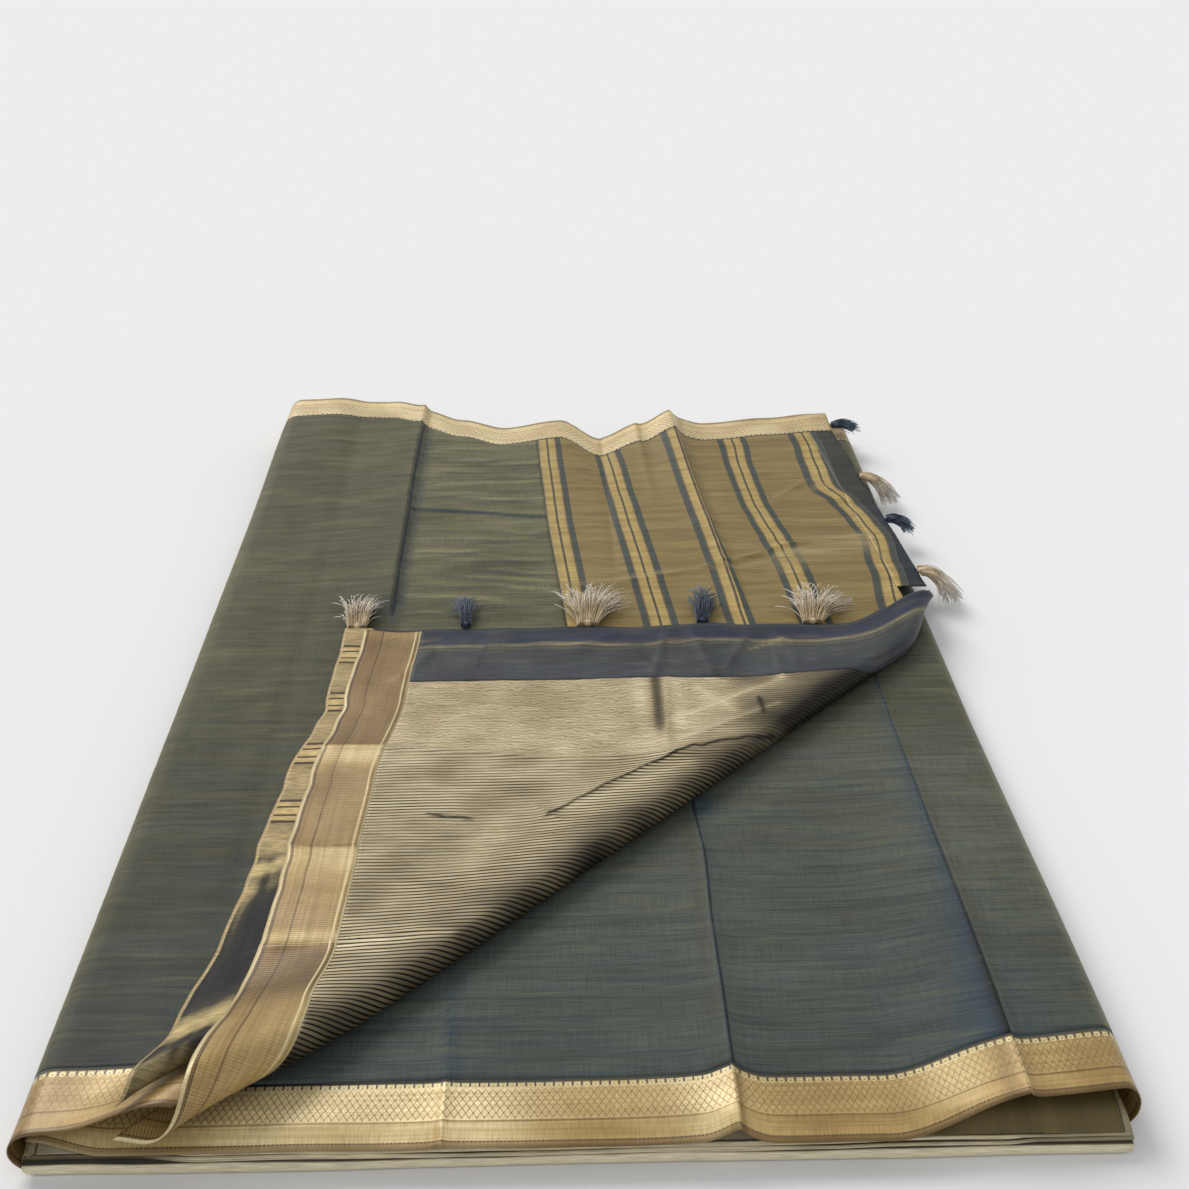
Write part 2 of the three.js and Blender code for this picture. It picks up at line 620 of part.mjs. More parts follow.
// A three-sided thread through a few points, narrowing to its end.
function strand(points, width) {
  const corners = [];
  const index = [];
  points.forEach((point, k) => {
    const ahead = points[Math.min(k + 1, points.length - 1)].clone().sub(points[Math.max(k - 1, 0)]).normalize();
    const flat = new THREE.Vector3(0, 0, 1).cross(ahead).normalize();
    const above = ahead.clone().cross(flat);
    const size = width * (1 - 0.45 * (k / (points.length - 1))) / 2;
    for (let corner = 0; corner < 3; corner += 1) {
      const turn = corner * 2 * Math.PI / 3;
      corners.push(point.clone()
        .addScaledVector(flat, size * Math.cos(turn))
        .addScaledVector(above, size * Math.sin(turn)));
    }
  });
  for (let k = 0; k < points.length - 1; k += 1) {
    for (let corner = 0; corner < 3; corner += 1) {
      const a = k * 3 + corner;
      const b = k * 3 + (corner + 1) % 3;
      index.push(a, b, b + 3, a, b + 3, a + 3);
    }
  }
  const last = corners.length - 3;
  index.push(0, 2, 1, last, last + 1, last + 2);
  return solid(closed(corners, index));
}

// Tassels along the flap's end, by distance from its selvage, and along the end of the top panel,
// where they hang over the side of the stack. Angles in degrees.
const FLAP_TASSELS = [
  { w: -8, lean: 4, spread: 38, finish: CREAM },
  { w: 88, lean: 8, spread: 20, finish: DARK_SILK },
  { w: 196, lean: -10, spread: 48, finish: CREAM },
  { w: 298, lean: -16, spread: 20, finish: DARK_SILK },
  { w: 396, lean: -16, spread: 42, finish: CREAM },
];
const END_TASSELS = [
  { y: 640, lean: -28, spread: 34, droop: 22, finish: CREAM },
  { y: 750, lean: 8, spread: 26, droop: 8, finish: DARK_SILK },
  { y: 850, lean: -30, spread: 34, droop: 24, finish: CREAM },
  { y: 985, lean: 12, spread: 24, droop: 4, finish: DARK_SILK },
];
const RAISED = WALL / 2 + TASSEL.head + SEAM;   // height of a head's axis above the layer that it lies on

// ---------------------------------------------------------------- assembly
add('hidden_layers', hiddenLayers(), ...HIDDEN);
add('lower_panel_field', lowerField(), ...TEAL_GREY);
add('lower_panel_near_border', lowerNearBorder(), ...ZARI);
add('lower_panel_far_border', lowerFarBorder(), ...ZARI);
add('top_panel_field', topField(), ...OLIVE);
add('top_panel_stripes', stripedField(), ...KHAKI);
add('top_panel_end_band', topEndBand(), ...NAVY);
add('top_panel_far_border', farBorder(), ...ZARI);
add('top_panel_near_border', nearLeftBorder(), ...ZARI);
add('flap_field', flapField(), ...TISSUE);
add('flap_border', flapBorder(), ...ZARI);
add('flap_end_band', flapEndBand(), ...NAVY);
add('flap_under_border', underBorder(), ...ZARI);
add('flap_under_end', underEnd(), ...NAVY);
const flapForward = new THREE.Vector3(0, 1, 0);
const endForward = new THREE.Vector3(1, -PANEL_END.lean, 0).normalize();
FLAP_TASSELS.forEach((row, k) => {
  const seat = underPoint(-END_SHOWS, row.w);
  seat.z = Math.max(seat.z, TOP_MID + RAISED);
  add(`flap_tassel_${k + 1}`, tassel(seat, flapForward, row, k + 1), ...row.finish);
});
END_TASSELS.forEach((row, k) => {
  const seat = topPoint(panelEnd(Math.min(row.y, TOP_FAR_ROW)), row.y);
  add(`end_tassel_${k + 1}`, tassel(seat, endForward, row, k + 11), ...row.finish);
});

const box = new THREE.Box3().setFromObject(group);
const centre = box.getCenter(new THREE.Vector3());
group.position.set(-centre.x, -centre.y, -box.min.z);

export default group;
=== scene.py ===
"""A saree lying folded, with the near right corner of its two top layers turned back."""
import math

import bpy
import numpy as np
from mathutils import Euler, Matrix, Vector


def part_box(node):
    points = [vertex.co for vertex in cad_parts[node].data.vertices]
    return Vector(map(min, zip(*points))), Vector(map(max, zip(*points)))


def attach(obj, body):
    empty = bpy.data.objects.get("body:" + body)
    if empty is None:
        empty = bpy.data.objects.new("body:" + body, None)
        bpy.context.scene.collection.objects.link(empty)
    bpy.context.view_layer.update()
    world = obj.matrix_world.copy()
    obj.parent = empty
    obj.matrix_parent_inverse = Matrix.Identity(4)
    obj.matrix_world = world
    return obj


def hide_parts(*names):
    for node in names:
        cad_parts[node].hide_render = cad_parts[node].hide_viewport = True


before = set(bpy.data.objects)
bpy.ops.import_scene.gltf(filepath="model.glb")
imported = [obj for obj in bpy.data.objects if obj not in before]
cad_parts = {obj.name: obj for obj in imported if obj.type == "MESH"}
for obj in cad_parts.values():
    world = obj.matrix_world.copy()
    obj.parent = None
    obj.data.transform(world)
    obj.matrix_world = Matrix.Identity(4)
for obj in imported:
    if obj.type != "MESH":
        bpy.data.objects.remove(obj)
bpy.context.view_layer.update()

MM = 0.001

# ---------------------------------------------------------------- driving sizes, in millimetres
# They are the solids' own, in the stack's frame: X along the saree's length, Y across its width.
CLOTH = 0.7  # thickness of a layer that shows
LAYER = 1.8  # from one layer to the next
BORDER = 50.0
LOWER_BORDER = 46.0
END_BAND = 28.0
FLAP_BAND = 83.0
STRIPES = 333.0  # length of the striped end
STRIPE_PITCH = 72.0
FIRST_STRIPE = 35.0  # from the end to the middle of the first group

CORE_TOP = 22.0
LOWER_MID = 23.05
TOP_MID = 31.75
TOP_NEAR_EDGE = -10.0
NEAR_HANG = 4.5  # how far the lower panel sinks at its near edge
NEAR_DROOP = 6.0  # how far the stack below it sinks there

LEFT_FOLD = {"x": -290.0, "reach": 17.0, "low": 2.5, "side": -1}
RIGHT_FOLD = {"x": 333.0, "reach": 12.5, "low": 2.5, "side": 1}
FOLD_ARC = 14.0  # cloth taken up by each radian of a side fold
FOLD_TURN = math.radians(150)

DIAGONAL = 187.0  # Y less X along the fold of the corner
DIAGONAL_START = (-63.0, -63.0 + DIAGONAL)
HALF = math.sqrt(0.5)
ROLL = {
    "radius": 9.0, "tip_radius": 17.0, "tip_lift": 12.0, "tip_at": -200.0, "tip_spread": 85.0,
    "settle": 70.0,
}
ROLL_BEND = {"inset": 38.0, "from": 520.0, "to": 640.0}
ROLL_CLEAR = 8.5  # the top cloth ends this far inside the diagonal
ROLL_LEAD = 12.0  # the corner's cloth runs on this far past its half turn
SLACK = 1.2  # air below the corner where it lies flat
UNDER = LAYER + 0.9  # from the corner's upper layer to its lower one
TUCK = {"inset": 32.0, "radius": 6.5, "turn": math.radians(150)}

# The solids' frame: its origin lies under the middle of the stack.
HIDDEN_LOW = [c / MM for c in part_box("hidden_layers")[0]]
SHIFT = np.array([HIDDEN_LOW[0] + 300.5, HIDDEN_LOW[1] + 12.665, 0.0])

# ---------------------------------------------------------------- short tables
FAR_EDGE = {
    "at": [-305, -250, -181, -146, -100, -52, 12, 55, 100, 142, 176, 249, 317],
    "y": [1060, 1060, 1055, 1040, 1012, 992, 1000, 962, 985, 1006, 1000, 1010, 1020],
    "lift": [9, 10, 4, 3, 2, 1, 6, 0, 4, 7, 1, 2, 3],
}
LOWER_EDGE = {
    "at": [-300, -250, 90, 108, 130, 195, 277, 345],
    "y": [-4, -13, -14, -11, -14, -14, 0, 6],
}
FLAP_EDGE = {
    "at": [0, 108, 218, 300, 398, 455, 540, 620],
    "x": [-162, -167, -181, -184, -187, -195, -202, -188],
    "shows": [18, 15, 19, 22, 28, 33, 34, 34],
}
PANEL_END = {"x": 352.0, "y": 600.0, "lean": -0.085}
FLAP_END = {"y": 533.0, "curl": 55.0, "curl_from": 425.0, "curl_to": 515.0}


# ---------------------------------------------------------------- small helpers
def ramp(start, end, value):
    t = np.clip((np.asarray(value, float) - start) / (end - start), 0, 1)
    return t * t * (3 - 2 * t)


def bell(distance, width):
    return np.exp(-((distance / width) ** 2))


def crest(distance, left, right):
    return np.exp(-np.abs(distance) / np.where(distance < 0, left, right))


def read(table, column, at):
    """Reads a column of a table at a place, easing between its rows."""
    at = np.asarray(at, float)
    places, values = np.array(table["at"], float), np.array(table[column], float)
    row = np.clip(np.searchsorted(places, at, side="right") - 1, 0, len(places) - 2)
    before, after = places[row], places[row + 1]
    t = np.clip((at - before) / (after - before), 0, 1)
    return values[row] + (values[row + 1] - values[row]) * t * t * (3 - 2 * t)


LATTICE = np.random.RandomState(11).rand(64, 64)


def ripple(x, y, seed=0):
    """Smooth noise from -1 to 1, one bump per unit."""
    x, y = np.asarray(x, float) + seed * 17.3, np.asarray(y, float) + seed * 5.9
    column, row = np.floor(x).astype(int), np.floor(y).astype(int)
    a, b = x - column, y - row
    a, b = a * a * (3 - 2 * a), b * b * (3 - 2 * b)
    corner = LATTICE[row % 64, column % 64] * (1 - a) + LATTICE[row % 64, (column + 1) % 64] * a
    above = LATTICE[(row + 1) % 64, column % 64] * (1 - a) + LATTICE[(row + 1) % 64, (column + 1) % 64] * a
    return 2 * (corner * (1 - b) + above * b) - 1


def creased(x, y, start, end, width, height, fade=12.0):
    """A ridge along a line from start to end, with soft ends."""
    start, end = np.array(start, float), np.array(end, float)
    length = np.linalg.norm(end - start)
    direction = (end - start) / length
    along = (x - start[0]) * direction[0] + (y - start[1]) * direction[1]
    across = -(x - start[0]) * direction[1] + (y - start[1]) * direction[0]
    within = ramp(-fade, fade, along) * (1 - ramp(length - fade, length + fade, along))
    return height * np.exp(-np.abs(across) / width) * within


def creases(x, y, rows):
    """Several ridges together, each with its start, end, width, height and, where given, its fade."""
    return sum(creased(x, y, *row) for row in rows)


# ---------------------------------------------------------------- outlines in plan
def far_edge(x):
    return read(FAR_EDGE, "y", x)


# How far each group of stripes lies from its even place, where creases take cloth up, by its place in Y.
DRIFT = {
    "at": [560, 650, 710, 750, 790, 825, 880, 940],
    "first": [4, -7, -14, -11, -5, 7, 4, 0],
    "second": [12, 10, 13, 16, 18, 17, 15, 10],
    "hidden": [6, 8, 11, 12, 13, 13, 13, 13],
    "third": [3, 2, 2, 2, 2, 2, 2, 2],
    "fourth": [6, 7, 8, 9, 9, 10, 10, 12],
    "fifth": [8, 8, 8, 8, 7, 6, 5, 3],
}


def stripe_drift(from_end, y):
    """Drift at a distance from the panel's end, eased between the groups. The pleat by the third
    group hides a little of it on its steep side."""
    columns = [read(DRIFT, name, y) for name in ("first", "second", "third", "fourth", "fifth")]
    place = np.clip((from_end - FIRST_STRIPE) / STRIPE_PITCH, 0, 3.999)
    before, share = np.floor(place).astype(int), place % 1.0
    share = share * share * (3 - 2 * share)
    stacked = np.stack([c + 0 * from_end for c in columns], -1)
    low = np.take_along_axis(stacked, before[..., None], -1)[..., 0]
    high = np.take_along_axis(stacked, before[..., None] + 1, -1)[..., 0]
    high = high + np.where(before == 1, read(DRIFT, "hidden", y), 0)
    return low + (high - low) * share


def stripes_left(y):
    """Where the striped end meets the body cloth."""
    return panel_end(y) - STRIPES - read(DRIFT, "fifth", y)


def panel_end(y):
    return PANEL_END["x"] + PANEL_END["lean"] * (np.asarray(y, float) - PANEL_END["y"])


def pleat_fold(y):
    """The pleat's edge in the striped end, along the middle of its third group of stripes."""
    return panel_end(y) - FIRST_STRIPE - 2 * STRIPE_PITCH


def along_roll(x, y):
    return HALF * (x - DIAGONAL_START[0]) + HALF * (y - DIAGONAL_START[1])


def inwards(x, y):
    straight = -HALF * (x - DIAGONAL_START[0]) + HALF * (y - DIAGONAL_START[1])
    return straight - ROLL_BEND["inset"] * ramp(ROLL_BEND["from"], ROLL_BEND["to"], along_roll(x, y))


def last_true(test, low, high, shape):
    near, far = np.full(shape, float(low)), np.full(shape, float(high))
    for _ in range(34):
        middle = (near + far) / 2
        passed = test(middle)
        near, far = np.where(passed, middle, near), np.where(passed, far, middle)
    return near


def roll_side(y):
    y = np.asarray(y, float)
    return last_true(lambda x: inwards(x, y) > ROLL_CLEAR, -400, 500, y.shape)


# ---------------------------------------------------------------- heights
def tip_share(p):
    return bell(p - ROLL["tip_at"], ROLL["tip_spread"])


def roll_radius(p):
    return ROLL["radius"] + (ROLL["tip_radius"] - ROLL["radius"]) * tip_share(p)


def roll_bed(p):
    return LOWER_MID + LAYER + ROLL["tip_lift"] * tip_share(p)


def top_bed(x, y):
    return TOP_MID + 22.0 * tip_share(along_roll(x, y)) * bell(inwards(x, y) - 16.0, 30.0)


# Wrinkles across the middle of the top panel, each by its place in Y and its two ends in X.
WRINKLES = [
    (571, -120, -60), (584, -60, 15), (600, -138, -50), (612, -40, 20), (622, -125, -20), (634, -90, 5),
    (648, -60, 10), (661, -138, -40), (672, -105, 0), (690, -134, -70), (702, -60, 6), (716, -130, -25),
    (730, -50, 4), (741, -136, -88), (752, -60, 0), (806, -90, 0), (818, -132, -60), (829, -50, 2),
    (844, -120, -10), (861, -70, 0), (874, -130, -50), (893, -60, 0), (905, -110, -30), (918, -40, 0),
    (930, -125, -60), (941, -50, 0), (955, -100, -20),
]


def top_wrinkles(x, y):
    total = 0
    for k, (at, left, right) in enumerate(WRINKLES):
        slant = 6 * math.sin(k * 3.1) + (12 if at < 660 else 0)
        height = 1.0 + 0.6 * math.sin(k * 4.3)
        bend = 2.5 * ripple(x / 22, k * 1.7, 60)
        total = total + creased(x, y + bend, (left, at + slant / 2), (right, at - slant / 2), 2.4, height, 16)
    return total


# The long crease across the striped end and the shorter ones about it.
END_CREASES = [
    ((-2, 619), (66, 623), 5, 1.8), ((66, 623), (143, 645), 5, 2.2), ((143, 645), (235, 694), 4, 3.2),
    ((235, 694), (317, 713), 5, 2.6), ((236, 800), (272, 838), 6, 2.6), ((272, 838), (310, 800), 7, 3.0),
    ((140, 735), (200, 760), 6, 0.9), ((20, 660), (50, 655), 4, 1.0),
]


def past_ridge(x, y):
    """Distance to the right of the top panel's long ridge."""
    return x + 145 - 2 * ripple(y / 90, 0, 2)


def past_cross_crease(x, y):
    """Distance beyond the crease that crosses the body cloth by the ridge."""
    return y - 786 + 0.16 * (x + 141)


def top_relief(x, y):
    """Packing creases and wrinkles of the top panel."""
    opened = ramp(560, 600, y)
    ridge = 7.0 * crest(past_ridge(x, y), 55, 3.0) - 1.0 * crest(x + 138, 3, 14)
    fold = x - pleat_fold(y)
    pleat = (4 + 5 * ramp(560, 960, y)) * crest(fold, 30, 4) - 1.5 * crest(fold - 10, 4, 20)
    far = read(FAR_EDGE, "lift", x) * ramp(760, 1000, y)
    small_pleat = 2.2 * crest(x - 100 + 0.05 * (y - 960), 9, 3) * ramp(740, 900, y)
    valley = -1.6 * crest(x - 57 + 0.02 * (y - 960), 5, 3.5) * ramp(620, 700, y)
    beyond = past_cross_crease(x, y)
    cross = 1.8 * crest(beyond, 2.5, 9) - 0.6 * crest(beyond + 4, 4, 1.5)
    cross = cross * ramp(-146, -140, x) * (1 - ramp(-8, 8, x))
    fine = 0.3 * ripple(x / 30, y / 6, 3) + 0.35 * ripple(x / 50, y / 15, 4)
    soft = 0.9 * ripple(x / 90, y / 130, 5)
    end_waves = 1.8 * ripple(0 * x, y / 20, 64) * ramp(-50, 0, x - panel_end(y)) * ramp(600, 640, y)
    left_side = -0.8 * bell(x + 215, 10) * ramp(60, 200, y) + 0.5 * ripple(x / 25, y / 200, 6)
    folded = ridge + pleat + valley + top_wrinkles(x, y) + cross + creases(x, y, END_CREASES)
    return folded * opened + far + small_pleat + fine + soft + end_waves + left_side


def top_height(x, y):
    return top_bed(x, y) + top_relief(x, y)


RISE_AT = 277.0


def past_first_crease(x, y):
    """Distance to the right of the lower panel's first crease."""
    return x + 62 + 2 * ripple(y / 60, 0, 8)


def past_second_crease(x, y):
    """Distance to the right of the lower panel's second and longer crease."""
    return x - 108 - 2 * ripple(y / 70, 0, 9)


def lower_height(x, y):
    clear = ramp(4, 45, -inwards(x, y))
    crease_near = 1.8 * crest(past_first_crease(x, y), 5, 5) * (1 - ramp(60, 170, y))
    crease_ridge = 7.5 * crest(past_second_crease(x, y), 20, 8) * (1 - ramp(0, 330, y))
    crease_ridge = crease_ridge + 1.3 * crest(x - 109, 5, 4) * (1 - ramp(240, 330, y))
    # The rise to the right ends in a sharp crease, with the cloth a little lower beyond it.
    rise = (13.5 * ramp(195, 280, x) + 2.5 * crest(x - RISE_AT, 12, 2.5)) * (1 - ramp(60, 440, y))
    lip = 1.2 * crest(x - RISE_AT, 8, 2.5) * (1 - ramp(420, 500, y))
    pucker = creased(x, y, (106, 298), (132, 272), 5, 1.5, 6)
    soft = 0.7 * ripple(x / 80, y / 60, 10) + 0.25 * ripple(x / 40, y / 14, 11)
    waves = 0.5 * ripple(x / 28, 0, 12) * (1 - ramp(-14, 60, y))
    hang = NEAR_HANG * (1 - ramp(-15, 4, y))
    formed = crease_near + crease_ridge + rise + lip + pucker + np.maximum(soft, -0.4) + waves
    return LOWER_MID + formed * clear - hang


FLAP_CREASES = [
    ((-182, 359), (-133, 355), 4, 2.4), ((-133, 355), (8, 338), 4, 2.0), ((8, 338), (116, 336), 4, 1.8),
    ((-189, 236), (-135, 240), 4, 1.8), ((-189, 134), (-142, 137), 4, 2.2), ((-142, 137), (-61, 145), 4, 1.6),
    ((98, 445), (92, 352), 7, 3.2, 20), ((96, 380), (173, 428), 8, 2.2, 16),
    ((100, 352), (190, 402), 7, 1.6, 16),
    ((-7, 261), (38, 296), 5, 1.8), ((38, 296), (109, 345), 6, 2.6), ((109, 345), (181, 363), 6, 2.4),
    ((-90, 272), (-57, 267), 2.5, 1.3, 5), ((-11, 279), (8, 258), 2.5, 1.3, 5),
    ((195, 490), (194, 443), 2.5, 1.2, 5), ((170, 413), (170, 385), 2.5, 1.2, 5),
    ((124, 529), (138, 455), 6, 2.2, 10), ((198, 526), (210, 470), 5, 1.8, 10),
    ((-128, 452), (-98, 500), 4, 1.8, 8), ((88, 456), (104, 524), 5, 2.4, 8),
    ((20, 500), (60, 522), 4, 1.4, 8), ((150, 462), (176, 520), 5, 2.0, 8),
]


def flap_relief(x, y, u, w):
    """Wrinkles of the turned-back corner, in plan."""
    folds = creases(x, y, FLAP_CREASES)
    end = 1.6 * ripple(w / 26, 0, 14) * (1 - ramp(0, 60, u))
    end = end + 1.0 * ripple(0, u / 24, 15) * (1 - ramp(0, 40, w))
    return folds + end + 0.9 * ripple(x / 60, y / 45, 16) + 0.25 * ripple(x / 22, y / 9, 17)


# ---------------------------------------------------------------- mid surfaces of the layers
def side_fold(fold, x, z):
    turn = np.clip(fold["side"] * (x - fold["x"]) / FOLD_ARC, 0, FOLD_TURN)
    folded_x = fold["x"] + fold["side"] * fold["reach"] * np.sin(turn)
    folded_z = fold["low"] + (z - fold["low"]) * (1 + np.cos(turn)) / 2
    return np.where(turn > 0, folded_x, x), np.where(turn > 0, folded_z, z)


def top_surface(x, y):
    folded_x, z = side_fold(LEFT_FOLD, x, top_height(np.maximum(x, LEFT_FOLD["x"]), y))
    return np.stack([folded_x, y, z], -1)


def lower_surface(x, y):
    folded_x, z = side_fold(RIGHT_FOLD, x, lower_height(np.minimum(x, RIGHT_FOLD["x"]), y))
    return np.stack([folded_x, y, z], -1)


def flap_plan(u, w):
    wander = 3.0 * ripple(w / 34, 0, 20) * (1 - ramp(0, 60, u))
    y = FLAP_END["y"] + FLAP_END["curl"] * ramp(FLAP_END["curl_from"], FLAP_END["curl_to"], w) - u + wander
    return read(FLAP_EDGE, "x", u) + w + 1.2 * ripple(0, u / 17, 21) * (1 - ramp(0, 40, w)), y


def turned_back(x, y, inner, u, w):
    """A layer of the corner, flat in plan at (x, y), turned back over the roll."""
    p = along_roll(x, y)
    radius, bed, inside = roll_radius(p), roll_bed(p), inwards(x, y)
    past, own = radius - inside, radius - inner
    resting = top_bed(x, y) + 2 * LAYER + SLACK
    drop = np.maximum(bed + 2 * radius - resting, 0)
    relief = np.maximum(flap_relief(x, y, u, w), -0.6) * ramp(0, 30, -past)
    lying = resting + drop * (1 - ramp(0, ROLL["settle"], -past)) - inner + relief
    turn = np.clip(past / own, 0, math.pi)
    rolled = bed + radius + own * np.cos(turn)
    beyond = past - math.pi * own
    round_roll = np.where(beyond < 0, own * np.sin(turn) - radius, -radius - beyond)
    outward = np.where(past <= 0, -inside, round_roll)
    z = np.where(past <= 0, lying, np.where(beyond < 0, rolled, bed + inner))
    shift = outward + inside
    return np.stack([x + HALF * shift, y - HALF * shift, z], -1)


def flap_surface(u, w):
    x, y = flap_plan(u, w)
    return turned_back(x, y, 0.0, u, w)


def past_tuck(u, w):
    return TUCK["inset"] + TUCK["radius"] - inwards(*flap_plan(u, w))


def under_surface(u, w):
    """The layer below the flap, which turns under in a tighter fold of its own."""
    x, y = flap_plan(u, w)
    past = np.maximum(past_tuck(u, w), 0)
    start = turned_back(x - HALF * past, y + HALF * past, UNDER, u, w)
    turn = past / TUCK["radius"]
    shift = TUCK["radius"] * np.sin(turn) - past
    z = start[..., 2] - TUCK["radius"] * (1 - np.cos(turn))
    tucked = np.stack([x + HALF * shift, y - HALF * shift, z], -1)
    return np.where((past > 0)[..., None], tucked, turned_back(x, y, UNDER, u, w))


def flap_reach(w, share, lead):
    w = np.asarray(w, float)

    def short_of(u):
        x, y = flap_plan(u, w)
        radius = roll_radius(along_roll(x, y))
        return radius - inwards(x, y) < share * math.pi * radius + lead

    return last_true(short_of, 0, 900, w.shape)


# ---------------------------------------------------------------- meshes
def build_mesh(name, points, faces, material, weave, tone, replaced):
    """A mesh piece that stands for a solid. weave holds each point's place in the cloth, in millimetres,
    and tone two amounts from 0 to 1 that its finish reads, mostly painted light and shade and some of the
    cloth's own pattern."""
    mesh = bpy.data.meshes.new(name)
    mesh.from_pydata(((np.asarray(points) + SHIFT) * MM).tolist(), [], faces)
    corner_points = np.empty(len(mesh.loops), dtype=np.int32)
    mesh.loops.foreach_get("vertex_index", corner_points)
    for label, values in (("weave", np.asarray(weave) * MM), ("tone", np.asarray(tone))):
        mesh.uv_layers.new(name=label).data.foreach_set("uv", values[corner_points].ravel())
    mesh.shade_smooth()
    mesh.materials.append(material)
    piece = bpy.data.objects.new(name, mesh)
    bpy.context.collection.objects.link(piece)
    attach(piece, "root")
    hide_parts(replaced)
    return piece


def thin_sheet(name, surface, a, b, weave, tone, material, replaced):
    """A closed sheet about a surface, on a grid of distances a and b measured in the cloth."""
    a, b = np.broadcast_arrays(a, b)
    middle = surface(a, b)
    step = 0.4
    along_a = surface(a + step, b) - surface(a - step, b)
    along_b = surface(a, b + step) - surface(a, b - step)
    normal = np.cross(along_a, along_b)
    normal = normal / np.maximum(np.linalg.norm(normal, axis=-1, keepdims=True), 1e-9)
    # Grids run either way, so the outer side is found from the way that their first cell turns.
    first = np.cross(middle[0, 1] - middle[0, 0], middle[1, 0] - middle[0, 0])
    outer = 1 if np.dot(first, normal[0, 0]) > 0 else -1
    half = outer * normal * CLOTH / 2
    points = np.concatenate([(middle + half).reshape(-1, 3), (middle - half).reshape(-1, 3)])
    count = a.size
    index = np.arange(count).reshape(a.shape)
    corner, right = index[:-1, :-1].ravel(), index[:-1, 1:].ravel()
    ahead, across = index[1:, :-1].ravel(), index[1:, 1:].ravel()
    upper = np.stack([corner, right, across, ahead], -1)
    lower = np.stack([corner, ahead, across, right], -1) + count
    rim = np.concatenate([index[0, :], index[1:, -1], index[-1, -2::-1], index[-2:0:-1, 0]])
    after = np.roll(rim, -1)
    sides = np.stack([after, rim, rim + count, after + count], -1)
    faces = np.concatenate([upper, lower, sides]).tolist()
    pairs = []
    for pair in (weave, tone):
        both = np.stack([np.broadcast_to(value, a.shape) for value in pair], -1).reshape(-1, 2)
        pairs.append(np.concatenate([both, both]))
    return build_mesh(name, points, faces, material, pairs[0], pairs[1], replaced)


def spaced(stops, counts):
    """Positions between stops, each interval cut into a count of equal steps. Stops may be arrays."""
    stops = [np.asarray(s, float) for s in stops]
    parts = []
    for low, high, count in zip(stops, stops[1:], counts):
        t = np.arange(count) / count
        parts.append(low[..., None] * (1 - t) + high[..., None] * t)
    parts.append(stops[-1][..., None])
    shape = np.broadcast_shapes(*[p.shape[:-1] for p in parts])
    return np.concatenate([np.broadcast_to(p, shape + p.shape[-1:]) for p in parts], -1)


# ---------------------------------------------------------------- shader helpers
def linear(colour):
    """An sRGB hex colour as linear red, green, blue and alpha."""
    channels = [int(colour[k:k + 2], 16) / 255 for k in (1, 3, 5)]
    return [c / 12.92 if c <= 0.04045 else ((c + 0.055) / 1.055) ** 2.4 for c in channels] + [1.0]


def node(tree, kind, settings, links):
    """Adds a shader node, with its settings, its ramp's stops and its links."""
    made = tree.nodes.new("ShaderNode" + kind)
    for key, value in settings.items():
        if key == "stops":
            stops = made.color_ramp.elements
            stops[0].position = value[0][0]
            stops[1].position = value[1][0]
            for place, colour in value[2:]:
                stops.new(place)
            for stop, (place, colour) in zip(stops, value):
                stop.color = linear(colour)
        elif isinstance(key, str) and hasattr(made, key):
            setattr(made, key, value)
        else:
            made.inputs[key].default_value = value
    for key, source in links.items():
        tree.links.new(source, made.inputs[key])
    return made


def blank(name, settings):
    """A new material with only a shader, which has the given settings."""
    material = bpy.data.materials.new(name)
    material.use_nodes = True
    tree = material.node_tree
    tree.nodes.clear()
    shader = node(tree, "BsdfPrincipled", settings, {})
    node(tree, "OutputMaterial", {}, {"Surface": shader.outputs[0]})
    return material, tree, shader


def bands(pitch):
    """Scale of a wave texture whose bands are a pitch apart, in millimetres."""
    return math.pi / (10 * pitch * MM)


